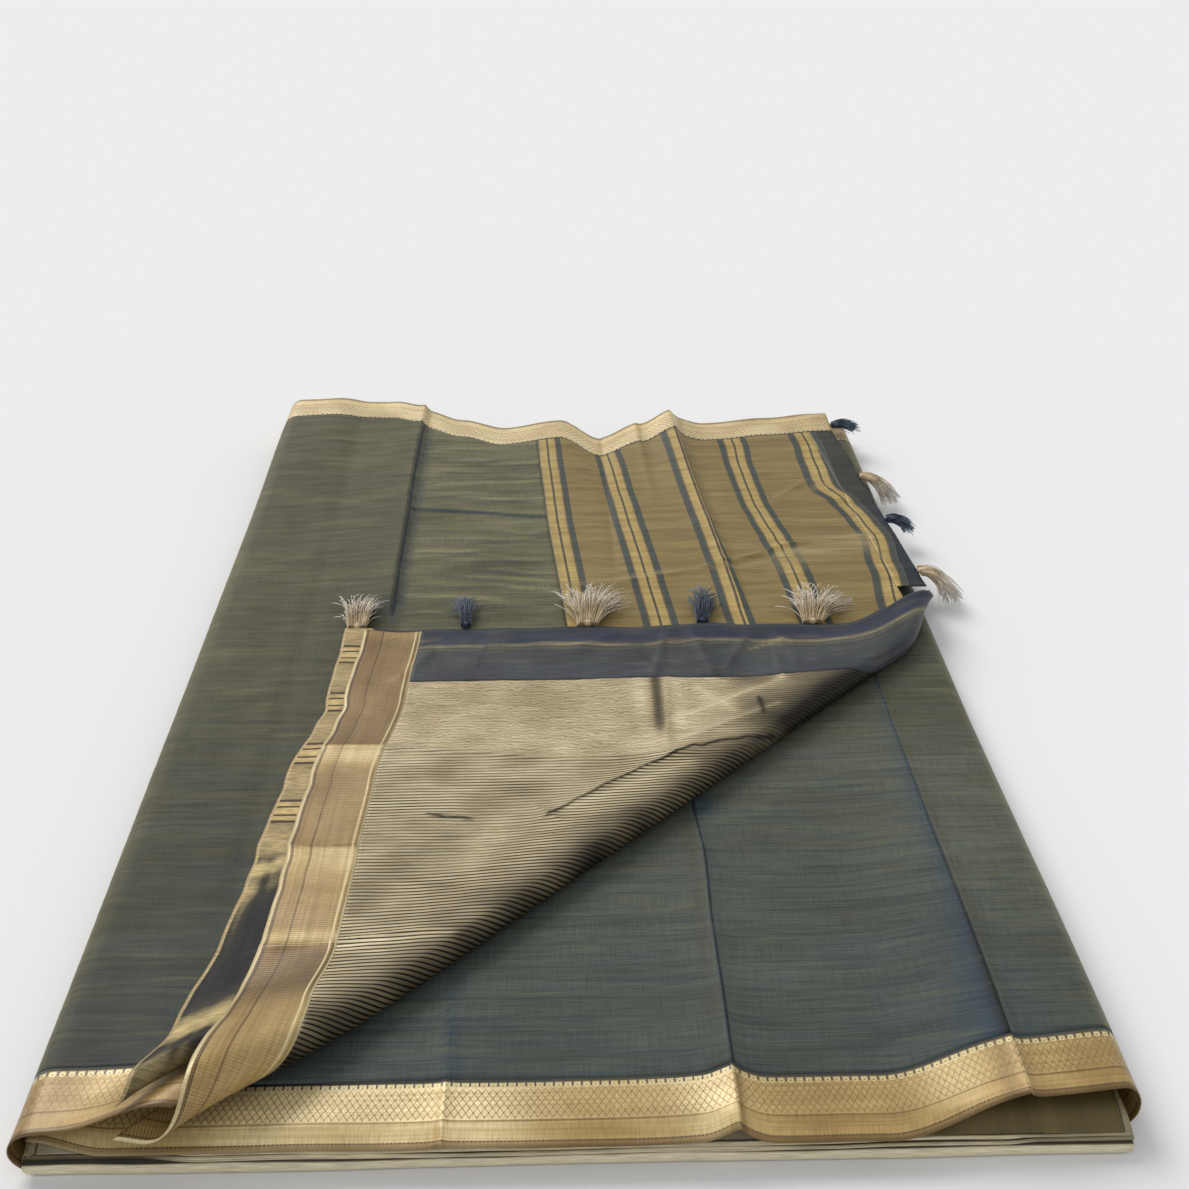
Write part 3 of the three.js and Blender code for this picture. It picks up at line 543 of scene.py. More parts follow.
# ---------------------------------------------------------------- finishes
def body_cloth():
    """Handloomed cotton and silk, plain woven, with warp and weft of two colours. The slubs of its
    thicker yarns run along the saree, and it turns from olive to slate blue with the angle."""
    material, tree, shader = blank("handloomed shot cotton silk", {
        "Roughness": 0.6, "Sheen Weight": 0.08, "Sheen Roughness": 0.4, "Specular IOR Level": 0.25,
        "IOR": 1.5,
    })
    weave = node(tree, "UVMap", {"uv_map": "weave"}, {})
    lit = node(tree, "UVMap", {"uv_map": "tone"}, {})
    tone = node(tree, "SeparateXYZ", {}, {0: lit.outputs[0]})
    facing = node(tree, "LayerWeight", {"Blend": 0.5}, {})
    slate = node(tree, "ValToRGB", {"stops": [(0.25, "#5e696c"), (0.55, "#7f8579"), (0.9, "#8f8d74")]},
                 {0: facing.outputs["Facing"]})
    olive = node(tree, "ValToRGB", {"stops": [(0.25, "#3d4035"), (0.55, "#625f42"), (0.9, "#867f57")]},
                 {0: facing.outputs["Facing"]})
    # The second tone runs from slate through olive to a painted khaki highlight on the wrinkles' crests.
    warmth = node(tree, "MapRange", {"From Max": 0.6}, {0: tone.outputs[1]})
    shot = node(tree, "MixRGB", {},
                {"Fac": warmth.outputs[0], "Color1": slate.outputs[0], "Color2": olive.outputs[0]})
    glint = node(tree, "MapRange", {"From Min": 0.6, "From Max": 1.0}, {0: tone.outputs[1]})
    khaki = node(tree, "MixRGB", {"Color2": linear("#a8a17c")},
                 {"Fac": glint.outputs[0], "Color1": shot.outputs[0]})
    # The first tone runs from none through a painted blue shade on the shaded sides to the painted near black
    # shadow of a crease.
    shade = node(tree, "ValToRGB", {"stops": [(0.0, "#2f5274"), (0.6, "#2a4a68"), (0.95, "#14171a")]},
                 {0: tone.outputs[0]})
    blue = node(tree, "MixRGB", {},
                {"Fac": tone.outputs[0], "Color1": khaki.outputs[0], "Color2": shade.outputs[0]})
    # Yarn slubs are about 0.3 mm thick, and are drawn 0.9 mm thick so that they show.
    along = node(tree, "Mapping", {"Scale": (28, 1100, 1)}, {0: weave.outputs[0]})
    slub = node(tree, "TexNoise", {"Scale": 1.0, "Detail": 4.0, "Roughness": 0.7},
                {"Vector": along.outputs[0]})
    fine = node(tree, "ValToRGB", {"stops": [(0.3, "#80848a"), (0.5, "#d8d8d4"), (0.68, "#fffbe2")]},
                {0: slub.outputs[0]})
    woven = node(tree, "MixRGB", {"blend_type": "MULTIPLY", "Fac": 0.75},
                 {"Color1": blue.outputs[0], "Color2": fine.outputs[0]})
    across = node(tree, "Mapping", {"Scale": (900, 40, 1)}, {0: weave.outputs[0]})
    weft = node(tree, "TexNoise", {"Scale": 1.0, "Detail": 3.0}, {"Vector": across.outputs[0]})
    crossed = node(tree, "ValToRGB", {"stops": [(0.32, "#a2a4a2"), (0.6, "#ffffff")]}, {0: weft.outputs[0]})
    grained = node(tree, "MixRGB", {"blend_type": "MULTIPLY", "Fac": 0.36},
                   {"Color1": woven.outputs[0], "Color2": crossed.outputs[0]})
    # Runs of paler and darker yarn, some 4 mm apart, and a few of olive.
    broad = node(tree, "Mapping", {"Scale": (7, 240, 1)}, {0: weave.outputs[0]})
    streak = node(tree, "TexNoise", {"Scale": 1.0, "Detail": 3.0, "Roughness": 0.6},
                  {"Vector": broad.outputs[0]})
    wide = node(tree, "ValToRGB", {"stops": [(0.34, "#a6adb6"), (0.5, "#e6e6e0"), (0.64, "#fffadc")]},
                {0: streak.outputs[0]})
    streaked = node(tree, "MixRGB", {"blend_type": "MULTIPLY", "Fac": 0.6},
                    {"Color1": grained.outputs[0], "Color2": wide.outputs[0]})
    sparse = node(tree, "Mapping", {"Scale": (11, 130, 1), "Location": (3.0, 7.0, 0.0)},
                  {0: weave.outputs[0]})
    run = node(tree, "TexNoise", {"Scale": 1.0, "Detail": 3.0}, {"Vector": sparse.outputs[0]})
    picked = node(tree, "MapRange", {"From Min": 0.58, "From Max": 0.74, "To Max": 0.24},
                  {0: run.outputs[0]})
    olived = node(tree, "MixRGB", {"Color2": linear("#7b7850")},
                  {"Fac": picked.outputs[0], "Color1": streaked.outputs[0]})
    cloud = node(tree, "TexNoise", {"Scale": 6.0, "Detail": 2.0}, {"Vector": weave.outputs[0]})
    patch = node(tree, "ValToRGB", {"stops": [(0.35, "#c9cbc8"), (0.62, "#ffffff")]}, {0: cloud.outputs[0]})
    final = node(tree, "MixRGB", {"blend_type": "MULTIPLY", "Fac": 0.4},
                 {"Color1": olived.outputs[0], "Color2": patch.outputs[0]})
    tree.links.new(final.outputs[0], shader.inputs["Base Color"])
    relief = node(tree, "Math", {"operation": "MULTIPLY_ADD", 1: 0.8},
                  {0: streak.outputs[0], 2: slub.outputs[0]})
    bump = node(tree, "Bump", {"Strength": 0.4, "Distance": 0.0004}, {"Height": relief.outputs[0]})
    tree.links.new(bump.outputs[0], shader.inputs["Normal"])
    return material


# Bands of the border from its selvage, in shares of its width: a matt selvage, a plain band, a thin
# line, and past it the ground of the lattice and of the row of rosettes along the inner edge.
BORDER_BANDS = [
    (0.0, "#a8987e"), (0.07, "#b5a488"), (0.085, "#93826a"), (0.1, "#fff6e2"), (0.32, "#f3ebd8"),
    (0.333, "#b3a07c"), (0.348, "#b3a07c"), (0.36, "#fffaf0"), (1.0, "#fffaf0"),
]
STITCH_PITCH = 2.4
BACK_RIB_PITCH = 2.0
CELL_ALONG, CELL_ACROSS = 4.4, 7.7
ROSETTE_PITCH = 5.5
ROSETTE_ROW = 45.0  # from the selvage to the rosettes' middles
ZARI_EDGE = 47.6  # from the selvage to the body cloth


def zari_border():
    """Gold-coloured metal thread woven in, thinly lined with the silk that it covers."""
    material, tree, shader = blank("gold zari border", {
        "Roughness": 0.4, "Metallic": 0.15, "Specular IOR Level": 0.5, "IOR": 1.5,
    })
    weave = node(tree, "UVMap", {"uv_map": "weave"}, {})
    lit = node(tree, "UVMap", {"uv_map": "tone"}, {})
    tone = node(tree, "SeparateXYZ", {}, {0: lit.outputs[0]})
    place = node(tree, "SeparateXYZ", {}, {0: weave.outputs[0]})
    share = node(tree, "Math", {"operation": "DIVIDE", 1: BORDER * MM}, {0: place.outputs[1]})
    # The first tone paints light and shade on the gold: a painted glint at 0, then bright gold, then dull
    # dark gold in painted shade at 1.
    gold = node(tree, "ValToRGB", {
        "stops": [(0.0, "#fff2cc"), (0.15, "#f0e1b6"), (0.5, "#d1ba85"), (1.0, "#967b4b")],
    }, {0: tone.outputs[0]})
    zones = node(tree, "ValToRGB", {"stops": BORDER_BANDS}, {0: share.outputs[0]})
    banded = node(tree, "MixRGB", {"blend_type": "MULTIPLY", "Fac": 0.9},
                  {"Color1": gold.outputs[0], "Color2": zones.outputs[0]})
    # A row of stitches along the selvage.
    dash = node(tree, "TexWave", {"bands_direction": "X", "Scale": bands(STITCH_PITCH)},
                {"Vector": weave.outputs[0]})
    row = node(tree, "ValToRGB", {"stops": [(0.074, "#000000"), (0.078, "#ffffff"), (0.094, "#ffffff"),
                                            (0.098, "#000000")]}, {0: share.outputs[0]})
    dashed = node(tree, "Math", {"operation": "MULTIPLY"}, {0: dash.outputs[1], 1: row.outputs[0]})
    stitched = node(tree, "MixRGB", {"Color2": linear("#6a5a42")},
                    {"Fac": dashed.outputs[0], "Color1": banded.outputs[0]})
    # A lattice of thin lines. The second tone is 0 on the border's face, 0.5 on its back, which has
    # neither lattice nor rosettes, and 1 where weft ribs cross the back.
    clear = node(tree, "MapRange", {"From Min": 0.0, "From Max": 0.5, "To Min": 1.0, "To Max": 0.0},
                 {0: tone.outputs[1]})
    weft = node(tree, "MapRange", {"From Min": 0.5, "From Max": 1.0}, {0: tone.outputs[1]})
    # The lattice shows less where the gold is painted dull in shade.
    dulled = node(tree, "MapRange", {"From Max": 0.8, "To Min": 1.0, "To Max": 0.35}, {0: tone.outputs[0]})
    within = node(tree, "ValToRGB", {"stops": [(0.37, "#000000"), (0.38, "#ffffff"), (0.84, "#ffffff"),
                                               (0.85, "#000000")]}, {0: share.outputs[0]})
    faced = node(tree, "Math", {"operation": "MULTIPLY"}, {0: clear.outputs[0], 1: within.outputs[0]})
    amount = node(tree, "Math", {"operation": "MULTIPLY"}, {0: faced.outputs[0], 1: dulled.outputs[0]})
    latticed = stitched
    for lean in (1, -1):
        cell = node(tree, "Mapping", {"Scale": (1 / (CELL_ALONG * MM), lean / (CELL_ACROSS * MM), 1)},
                    {0: weave.outputs[0]})
        wave = node(tree, "TexWave", {"bands_direction": "DIAGONAL", "Scale": math.pi / 5},
                    {"Vector": cell.outputs[0]})
        line = node(tree, "ValToRGB", {"stops": [(0.0, "#a8946e"), (0.11, "#ffffff")]},
                    {0: wave.outputs[1]})
        latticed = node(tree, "MixRGB", {"blend_type": "MULTIPLY"},
                        {"Fac": amount.outputs[0], "Color1": latticed.outputs[0], "Color2": line.outputs[0]})
    # The back's ribs are drawn coarser than real.
    rib = node(tree, "TexWave", {"bands_direction": "X", "Scale": bands(BACK_RIB_PITCH)},
               {"Vector": weave.outputs[0]})
    ribs = node(tree, "ValToRGB", {"stops": [(0.15, "#6f6048"), (0.6, "#ffffff")]}, {0: rib.outputs[1]})
    ribbed = node(tree, "MixRGB", {"blend_type": "MULTIPLY"},
                  {"Fac": weft.outputs[0], "Color1": latticed.outputs[0], "Color2": ribs.outputs[0]})
    # Rosettes 4 mm across in a row, with a dark gap between each two, and the body cloth past them.
    beside = node(tree, "Math", {"operation": "PINGPONG", 1: ROSETTE_PITCH / 2 * MM}, {0: place.outputs[0]})
    above = node(tree, "Math", {"operation": "SUBTRACT", 1: ROSETTE_ROW * MM}, {0: place.outputs[1]})
    offset = node(tree, "CombineXYZ", {}, {0: beside.outputs[0], 1: above.outputs[0]})
    distance = node(tree, "VectorMath", {"operation": "LENGTH"}, {0: offset.outputs[0]})
    radius = node(tree, "Math", {"operation": "DIVIDE", 1: ROSETTE_PITCH / 2 * MM},
                  {0: distance.outputs["Value"]})
    petal = node(tree, "ValToRGB", {"stops": [(0.0, "#9c8a66"), (0.18, "#a8966e"), (0.34, "#f4e6b8"),
                                              (0.62, "#efe0b0"), (0.74, "#b8a67c"), (1.0, "#b8a67c")]},
                 {0: radius.outputs[0]})
    round_off = node(tree, "Math", {"operation": "LESS_THAN", 1: 0.76}, {0: radius.outputs[0]})
    bloom = node(tree, "Math", {"operation": "MULTIPLY"}, {0: round_off.outputs[0], 1: clear.outputs[0]})
    flowered = node(tree, "MixRGB", {}, {"Fac": bloom.outputs[0], "Color1": ribbed.outputs[0],
                                         "Color2": petal.outputs[0]})
    between = node(tree, "Math", {"operation": "GREATER_THAN", 1: (ROSETTE_PITCH / 2 - 0.55) * MM},
                   {0: beside.outputs[0]})
    upper = node(tree, "Math", {"operation": "GREATER_THAN", 1: (ROSETTE_ROW - 0.6) * MM},
                 {0: place.outputs[1]})
    gap = node(tree, "Math", {"operation": "MULTIPLY"}, {0: between.outputs[0], 1: upper.outputs[0]})
    past = node(tree, "Math", {"operation": "GREATER_THAN", 1: ZARI_EDGE * MM}, {0: place.outputs[1]})
    either = node(tree, "Math", {"operation": "MAXIMUM"}, {0: gap.outputs[0], 1: past.outputs[0]})
    dark = node(tree, "Math", {"operation": "MULTIPLY"}, {0: either.outputs[0], 1: clear.outputs[0]})
    ended = node(tree, "MixRGB", {"Color2": linear("#4f5049")},
                 {"Fac": dark.outputs[0], "Color1": flowered.outputs[0]})
    # On the back, a bright line along the selvage and two along the inner edge.
    pair = node(tree, "ValToRGB", {"stops": [
        (0.04, "#ffffff"), (0.05, "#000000"), (0.89, "#000000"), (0.9, "#ffffff"), (0.915, "#ffffff"),
        (0.925, "#000000"), (0.965, "#000000"), (0.975, "#ffffff"), (1.0, "#ffffff"),
    ]}, {0: share.outputs[0]})
    backed = node(tree, "Math", {"operation": "SUBTRACT", 0: 1.0}, {1: clear.outputs[0]})
    lines = node(tree, "Math", {"operation": "MULTIPLY"}, {0: pair.outputs[0], 1: backed.outputs[0]})
    edged = node(tree, "MixRGB", {"Color2": linear("#ecdcb0")},
                 {"Fac": lines.outputs[0], "Color1": ended.outputs[0]})
    # The metal thread crosses the border, drawn about 1 mm apart.
    across = node(tree, "Mapping", {"Scale": (900, 90, 1)}, {0: weave.outputs[0]})
    thread = node(tree, "TexNoise", {"Scale": 1.0, "Detail": 3.0}, {"Vector": across.outputs[0]})
    spark = node(tree, "ValToRGB", {"stops": [(0.3, "#b3a890"), (0.5, "#e8e2d2"), (0.7, "#ffffff")]},
                 {0: thread.outputs[0]})
    threaded = node(tree, "MixRGB", {"blend_type": "MULTIPLY", "Fac": 0.45},
                    {"Color1": edged.outputs[0], "Color2": spark.outputs[0]})
    # Runs along it, and broad soft darker patches at random.
    lengthwise = node(tree, "Mapping", {"Scale": (9, 500, 1)}, {0: weave.outputs[0]})
    strand = node(tree, "TexNoise", {"Scale": 1.0, "Detail": 3.0}, {"Vector": lengthwise.outputs[0]})
    drawn = node(tree, "ValToRGB", {"stops": [(0.32, "#bcae92"), (0.62, "#ffffff")]},
                 {0: strand.outputs[0]})
    lined = node(tree, "MixRGB", {"blend_type": "MULTIPLY", "Fac": 0.5},
                 {"Color1": threaded.outputs[0], "Color2": drawn.outputs[0]})
    cloud = node(tree, "TexNoise", {"Scale": 14.0, "Detail": 2.0}, {"Vector": weave.outputs[0]})
    patch = node(tree, "ValToRGB", {"stops": [(0.35, "#cdc3ac"), (0.6, "#ffffff")]}, {0: cloud.outputs[0]})
    final = node(tree, "MixRGB", {"blend_type": "MULTIPLY", "Fac": 0.6},
                 {"Color1": lined.outputs[0], "Color2": patch.outputs[0]})
    tree.links.new(final.outputs[0], shader.inputs["Base Color"])
    bump = node(tree, "Bump", {"Strength": 0.3, "Distance": 0.0003}, {"Height": thread.outputs[0]})
    tree.links.new(bump.outputs[0], shader.inputs["Normal"])
    return material


# One group of stripes from its middle outwards, in shares of half the distance to the next group:
# a dark line, gold, a little ground, grey-green, and the khaki ground.
STRIPE_BANDS = [
    (0.0, "#5a5340"), (0.026, "#5a5340"), (0.04, "#c6ac6a"), (0.232, "#bca262"), (0.245, "#7d6d48"),
    (0.268, "#7d6d48"), (0.28, "#464c46"), (0.43, "#4a5048"), (0.445, "#95804b"), (1.0, "#97824e"),
]
DARK_END = 19.0  # the last stretch of the end, which is plain and dark


def striped_end():
    """The saree's decorated end: khaki silk with groups of gold and grey-green stripes, and a dark band
    by the end. The stripes run across the saree."""
    material, tree, shader = blank("striped silk and metal thread", {
        "Roughness": 0.5, "Metallic": 0.1, "Specular IOR Level": 0.35, "IOR": 1.5,
    })
    weave = node(tree, "UVMap", {"uv_map": "weave"}, {})
    lit = node(tree, "UVMap", {"uv_map": "tone"}, {})
    tone = node(tree, "SeparateXYZ", {}, {0: lit.outputs[0]})
    place = node(tree, "SeparateXYZ", {}, {0: weave.outputs[0]})
    shifted = node(tree, "Math", {"operation": "SUBTRACT", 1: FIRST_STRIPE * MM}, {0: place.outputs[0]})
    folded = node(tree, "Math", {"operation": "PINGPONG", 1: STRIPE_PITCH / 2 * MM},
                  {0: shifted.outputs[0]})
    share = node(tree, "Math", {"operation": "DIVIDE", 1: STRIPE_PITCH / 2 * MM}, {0: folded.outputs[0]})
    stripe = node(tree, "ValToRGB", {"stops": STRIPE_BANDS}, {0: share.outputs[0]})
    last = node(tree, "Math", {"operation": "LESS_THAN", 1: DARK_END * MM}, {0: place.outputs[0]})
    dark = node(tree, "ValToRGB", {"stops": [(0.0, "#35362d"), (1.0, "#232b38")]}, {0: tone.outputs[1]})
    ended = node(tree, "MixRGB", {},
                 {"Fac": last.outputs[0], "Color1": stripe.outputs[0], "Color2": dark.outputs[0]})
    # A painted sheen along the crease across the end, from the first tone.
    painted_sheen = node(tree, "MixRGB", {"Color2": linear("#b8a67a")},
                {"Fac": tone.outputs[0], "Color1": ended.outputs[0]})
    # Slubs across the stripes, drawn 1 mm thick, and runs of darker yarn.
    along = node(tree, "Mapping", {"Scale": (40, 850, 1)}, {0: weave.outputs[0]})
    slub = node(tree, "TexNoise", {"Scale": 1.0, "Detail": 3.0}, {"Vector": along.outputs[0]})
    fine = node(tree, "ValToRGB", {"stops": [(0.3, "#a39d8e"), (0.65, "#ffffff")]}, {0: slub.outputs[0]})
    woven = node(tree, "MixRGB", {"blend_type": "MULTIPLY", "Fac": 0.6},
                 {"Color1": painted_sheen.outputs[0], "Color2": fine.outputs[0]})
    broad = node(tree, "Mapping", {"Scale": (8, 110, 1)}, {0: weave.outputs[0]})
    streak = node(tree, "TexNoise", {"Scale": 1.0, "Detail": 2.0}, {"Vector": broad.outputs[0]})
    wide = node(tree, "ValToRGB", {"stops": [(0.35, "#c8c0ae"), (0.65, "#ffffff")]}, {0: streak.outputs[0]})
    final = node(tree, "MixRGB", {"blend_type": "MULTIPLY", "Fac": 0.6},
                 {"Color1": woven.outputs[0], "Color2": wide.outputs[0]})
    tree.links.new(final.outputs[0], shader.inputs["Base Color"])
    bump = node(tree, "Bump", {"Strength": 0.35, "Distance": 0.0004}, {"Height": slub.outputs[0]})
    tree.links.new(bump.outputs[0], shader.inputs["Normal"])
    return material


RIB_PITCH = 3.5
FIGURE_PITCH = 3.6


def ribbed_tissue():
    """Tissue of silk and gold metal thread, with dark silk ribs across the saree."""
    material, tree, shader = blank("ribbed gold tissue", {
        "Roughness": 0.5, "Metallic": 0.15, "Specular IOR Level": 0.2, "IOR": 1.5,
    })
    weave = node(tree, "UVMap", {"uv_map": "weave"}, {})
    lit = node(tree, "UVMap", {"uv_map": "tone"}, {})
    tone = node(tree, "SeparateXYZ", {}, {0: lit.outputs[0]})
    # The first tone is painted light and shade: pale where the tissue is painted lit, near black in painted
    # shadows of creases and by the roll.
    ground = node(tree, "ValToRGB", {
        "stops": [(0.0, "#f2e6c6"), (0.35, "#cfc1a0"), (0.7, "#82785f"), (1.0, "#2e291f")],
    }, {0: tone.outputs[0]})
    rib = node(tree, "TexWave", {
        "bands_direction": "X", "Scale": bands(RIB_PITCH), "Distortion": 1.6, "Detail": 1.0,
        "Detail Scale": 0.3,
    }, {"Vector": weave.outputs[0]})
    dark = node(tree, "ValToRGB", {"stops": [(0.16, "#1c1814"), (0.5, "#fffdf6")]}, {0: rib.outputs[1]})
    ribbed = node(tree, "MixRGB", {"blend_type": "MULTIPLY"},
                  {"Fac": tone.outputs[1], "Color1": ground.outputs[0], "Color2": dark.outputs[0]})
    # Watered figure where two layers of the tissue lie on each other, and threads drawn 1.5 mm apart.
    watered = node(tree, "TexWave", {
        "bands_direction": "X", "Scale": bands(FIGURE_PITCH), "Distortion": 9.0, "Detail": 3.0,
        "Detail Scale": 1.2,
    }, {"Vector": weave.outputs[0]})
    figure = node(tree, "ValToRGB", {"stops": [(0.1, "#d6cdb8"), (0.7, "#ffffff")]},
                  {0: watered.outputs[1]})
    plain = node(tree, "Math", {"operation": "SUBTRACT", 0: 1.0}, {1: tone.outputs[1]})
    figured = node(tree, "MixRGB", {"blend_type": "MULTIPLY"},
                   {"Fac": plain.outputs[0], "Color1": ribbed.outputs[0], "Color2": figure.outputs[0]})
    along = node(tree, "Mapping", {"Scale": (650, 30, 1)}, {0: weave.outputs[0]})
    slub = node(tree, "TexNoise", {"Scale": 1.0, "Detail": 3.0}, {"Vector": along.outputs[0]})
    fine = node(tree, "ValToRGB", {"stops": [(0.3, "#a59b88"), (0.65, "#ffffff")]}, {0: slub.outputs[0]})
    threaded = node(tree, "MixRGB", {"blend_type": "MULTIPLY", "Fac": 0.6},
                    {"Color1": figured.outputs[0], "Color2": fine.outputs[0]})
    cloud = node(tree, "TexNoise", {"Scale": 22.0, "Detail": 3.0}, {"Vector": weave.outputs[0]})
    patch = node(tree, "ValToRGB", {"stops": [(0.38, "#a89b86"), (0.6, "#ffffff")]}, {0: cloud.outputs[0]})
    final = node(tree, "MixRGB", {"blend_type": "MULTIPLY", "Fac": 0.32},
                 {"Color1": threaded.outputs[0], "Color2": patch.outputs[0]})
    tree.links.new(final.outputs[0], shader.inputs["Base Color"])
    relief = node(tree, "Math", {"operation": "MULTIPLY_ADD", 1: 0.5},
                  {0: slub.outputs[0], 2: rib.outputs[1]})
    bump = node(tree, "Bump", {"Strength": 0.4, "Distance": 0.0005}, {"Height": relief.outputs[0]})
    tree.links.new(bump.outputs[0], shader.inputs["Normal"])
    return material


# The band from the end, in shares of 100 mm that start 10 mm outside it: two soft gold lines on navy.
NAVY_BANDS = [
    (0.0, "#242a33"), (0.12, "#1e2738"), (0.25, "#232f4c"), (0.33, "#333c50"), (0.36, "#8b8060"),
    (0.385, "#a0926a"), (0.405, "#474b4c"), (0.435, "#6e694f"), (0.455, "#4a4d4a"), (0.6, "#4c504f"),
    (0.85, "#484c52"), (0.97, "#3a4358"),
]


def navy_band():
    """Plain navy silk with a grey weft across the saree's end, and two gold threads laid in. The first
    tone is painted shade along a wrinkle, the second a painted olive gold highlight where a wrinkle catches
    the light."""
    material, tree, shader = blank("navy silk band", {
        "Roughness": 0.55, "Specular IOR Level": 0.3, "IOR": 1.5, "Sheen Weight": 0.1, "Sheen Roughness": 0.4,
    })
    weave = node(tree, "UVMap", {"uv_map": "weave"}, {})
    lit = node(tree, "UVMap", {"uv_map": "tone"}, {})
    tone = node(tree, "SeparateXYZ", {}, {0: lit.outputs[0]})
    place = node(tree, "SeparateXYZ", {}, {0: weave.outputs[0]})
    share = node(tree, "MapRange", {"From Min": -0.01, "From Max": 0.09}, {0: place.outputs[0]})
    sway = node(tree, "TexNoise", {"Scale": 9.0, "Detail": 2.0}, {"Vector": weave.outputs[0]})
    moved = node(tree, "Math", {"operation": "MULTIPLY_ADD", 1: 0.24},
                 {0: sway.outputs[0], 2: share.outputs[0]})
    settled = node(tree, "Math", {"operation": "SUBTRACT", 1: 0.12}, {0: moved.outputs[0]})
    zone = node(tree, "ValToRGB", {"stops": NAVY_BANDS}, {0: settled.outputs[0]})
    # Painted gold highlights from the second tone, and painted shade along wrinkles from the first.
    glint = node(tree, "MixRGB", {"Color2": linear("#a89a70")},
                 {"Fac": tone.outputs[1], "Color1": zone.outputs[0]})
    painted_wrinkle_shade = node(tree, "MixRGB", {"Color2": linear("#151a26")},
                    {"Fac": tone.outputs[0], "Color1": glint.outputs[0]})
    along = node(tree, "Mapping", {"Scale": (800, 40, 1)}, {0: weave.outputs[0]})
    slub = node(tree, "TexNoise", {"Scale": 1.0, "Detail": 3.0}, {"Vector": along.outputs[0]})
    fine = node(tree, "ValToRGB", {"stops": [(0.3, "#84868c"), (0.7, "#ffffff")]}, {0: slub.outputs[0]})
    woven = node(tree, "MixRGB", {"blend_type": "MULTIPLY", "Fac": 0.8},
                 {"Color1": painted_wrinkle_shade.outputs[0], "Color2": fine.outputs[0]})
    cloud = node(tree, "TexNoise", {"Scale": 16.0, "Detail": 2.0}, {"Vector": weave.outputs[0]})
    patch = node(tree, "ValToRGB", {"stops": [(0.38, "#8f97b0"), (0.62, "#ffffff")]}, {0: cloud.outputs[0]})
    final = node(tree, "MixRGB", {"blend_type": "MULTIPLY", "Fac": 0.6},
                 {"Color1": woven.outputs[0], "Color2": patch.outputs[0]})
    tree.links.new(final.outputs[0], shader.inputs["Base Color"])
    bump = node(tree, "Bump", {"Strength": 0.35, "Distance": 0.0004}, {"Height": slub.outputs[0]})
    tree.links.new(bump.outputs[0], shader.inputs["Normal"])
    return material


# The same groups of stripes as they cross the border's back.
REVERSE_BANDS = [
    (0.0, "#e0c78e"), (0.10, "#dcc48c"), (0.12, "#4a4034"), (0.16, "#4a4034"), (0.18, "#e0c78e"),
    (0.30, "#c8b080"), (0.32, "#4c4238"), (0.38, "#4c4238"), (0.40, "#ac9a72"), (1.0, "#c8b487"),
]
BACK_SELVAGE = 2.2


def border_reverse():
    """The border's back: gold with the end's stripes across it, and further in dark silk floats."""
    material, tree, shader = blank("reverse of the border", {
        "Roughness": 0.5, "Metallic": 0.15, "Specular IOR Level": 0.2, "IOR": 1.5,
    })
    weave = node(tree, "UVMap", {"uv_map": "weave"}, {})
    lit = node(tree, "UVMap", {"uv_map": "tone"}, {})
    tone = node(tree, "SeparateXYZ", {}, {0: lit.outputs[0]})
    place = node(tree, "SeparateXYZ", {}, {0: weave.outputs[0]})
    shifted = node(tree, "Math", {"operation": "SUBTRACT", 1: FIRST_STRIPE * MM}, {0: place.outputs[0]})
    folded = node(tree, "Math", {"operation": "PINGPONG", 1: STRIPE_PITCH / 2 * MM},
                  {0: shifted.outputs[0]})
    share = node(tree, "Math", {"operation": "DIVIDE", 1: STRIPE_PITCH / 2 * MM}, {0: folded.outputs[0]})
    stripe = node(tree, "ValToRGB", {"stops": REVERSE_BANDS}, {0: share.outputs[0]})
    # The second tone paints gold glints of light on the dark silk floats.
    floats = node(tree, "ValToRGB", {"stops": [(0.0, "#12141e"), (0.4, "#3c392e"), (1.0, "#d8c692")]},
                  {0: tone.outputs[1]})
    plain = node(tree, "MixRGB", {},
                 {"Fac": tone.outputs[0], "Color1": stripe.outputs[0], "Color2": floats.outputs[0]})
    edge = node(tree, "Math", {"operation": "LESS_THAN", 1: BACK_SELVAGE * MM}, {0: place.outputs[1]})
    edged = node(tree, "MixRGB", {"Color2": linear("#c9b58c")},
                 {"Fac": edge.outputs[0], "Color1": plain.outputs[0]})
    shimmer = node(tree, "Mapping", {"Scale": (650, 90, 1)}, {0: weave.outputs[0]})
    thread = node(tree, "TexNoise", {"Scale": 1.0, "Detail": 3.0}, {"Vector": shimmer.outputs[0]})
    spark = node(tree, "ValToRGB", {"stops": [(0.35, "#8f8982"), (0.55, "#d8d0c2"), (0.7, "#fff8e8")]},
                 {0: thread.outputs[0]})
    final = node(tree, "MixRGB", {"blend_type": "MULTIPLY", "Fac": 0.7},
                 {"Color1": edged.outputs[0], "Color2": spark.outputs[0]})
    tree.links.new(final.outputs[0], shader.inputs["Base Color"])
    bump = node(tree, "Bump", {"Strength": 0.35, "Distance": 0.0004}, {"Height": thread.outputs[0]})
    tree.links.new(bump.outputs[0], shader.inputs["Normal"])
    return material


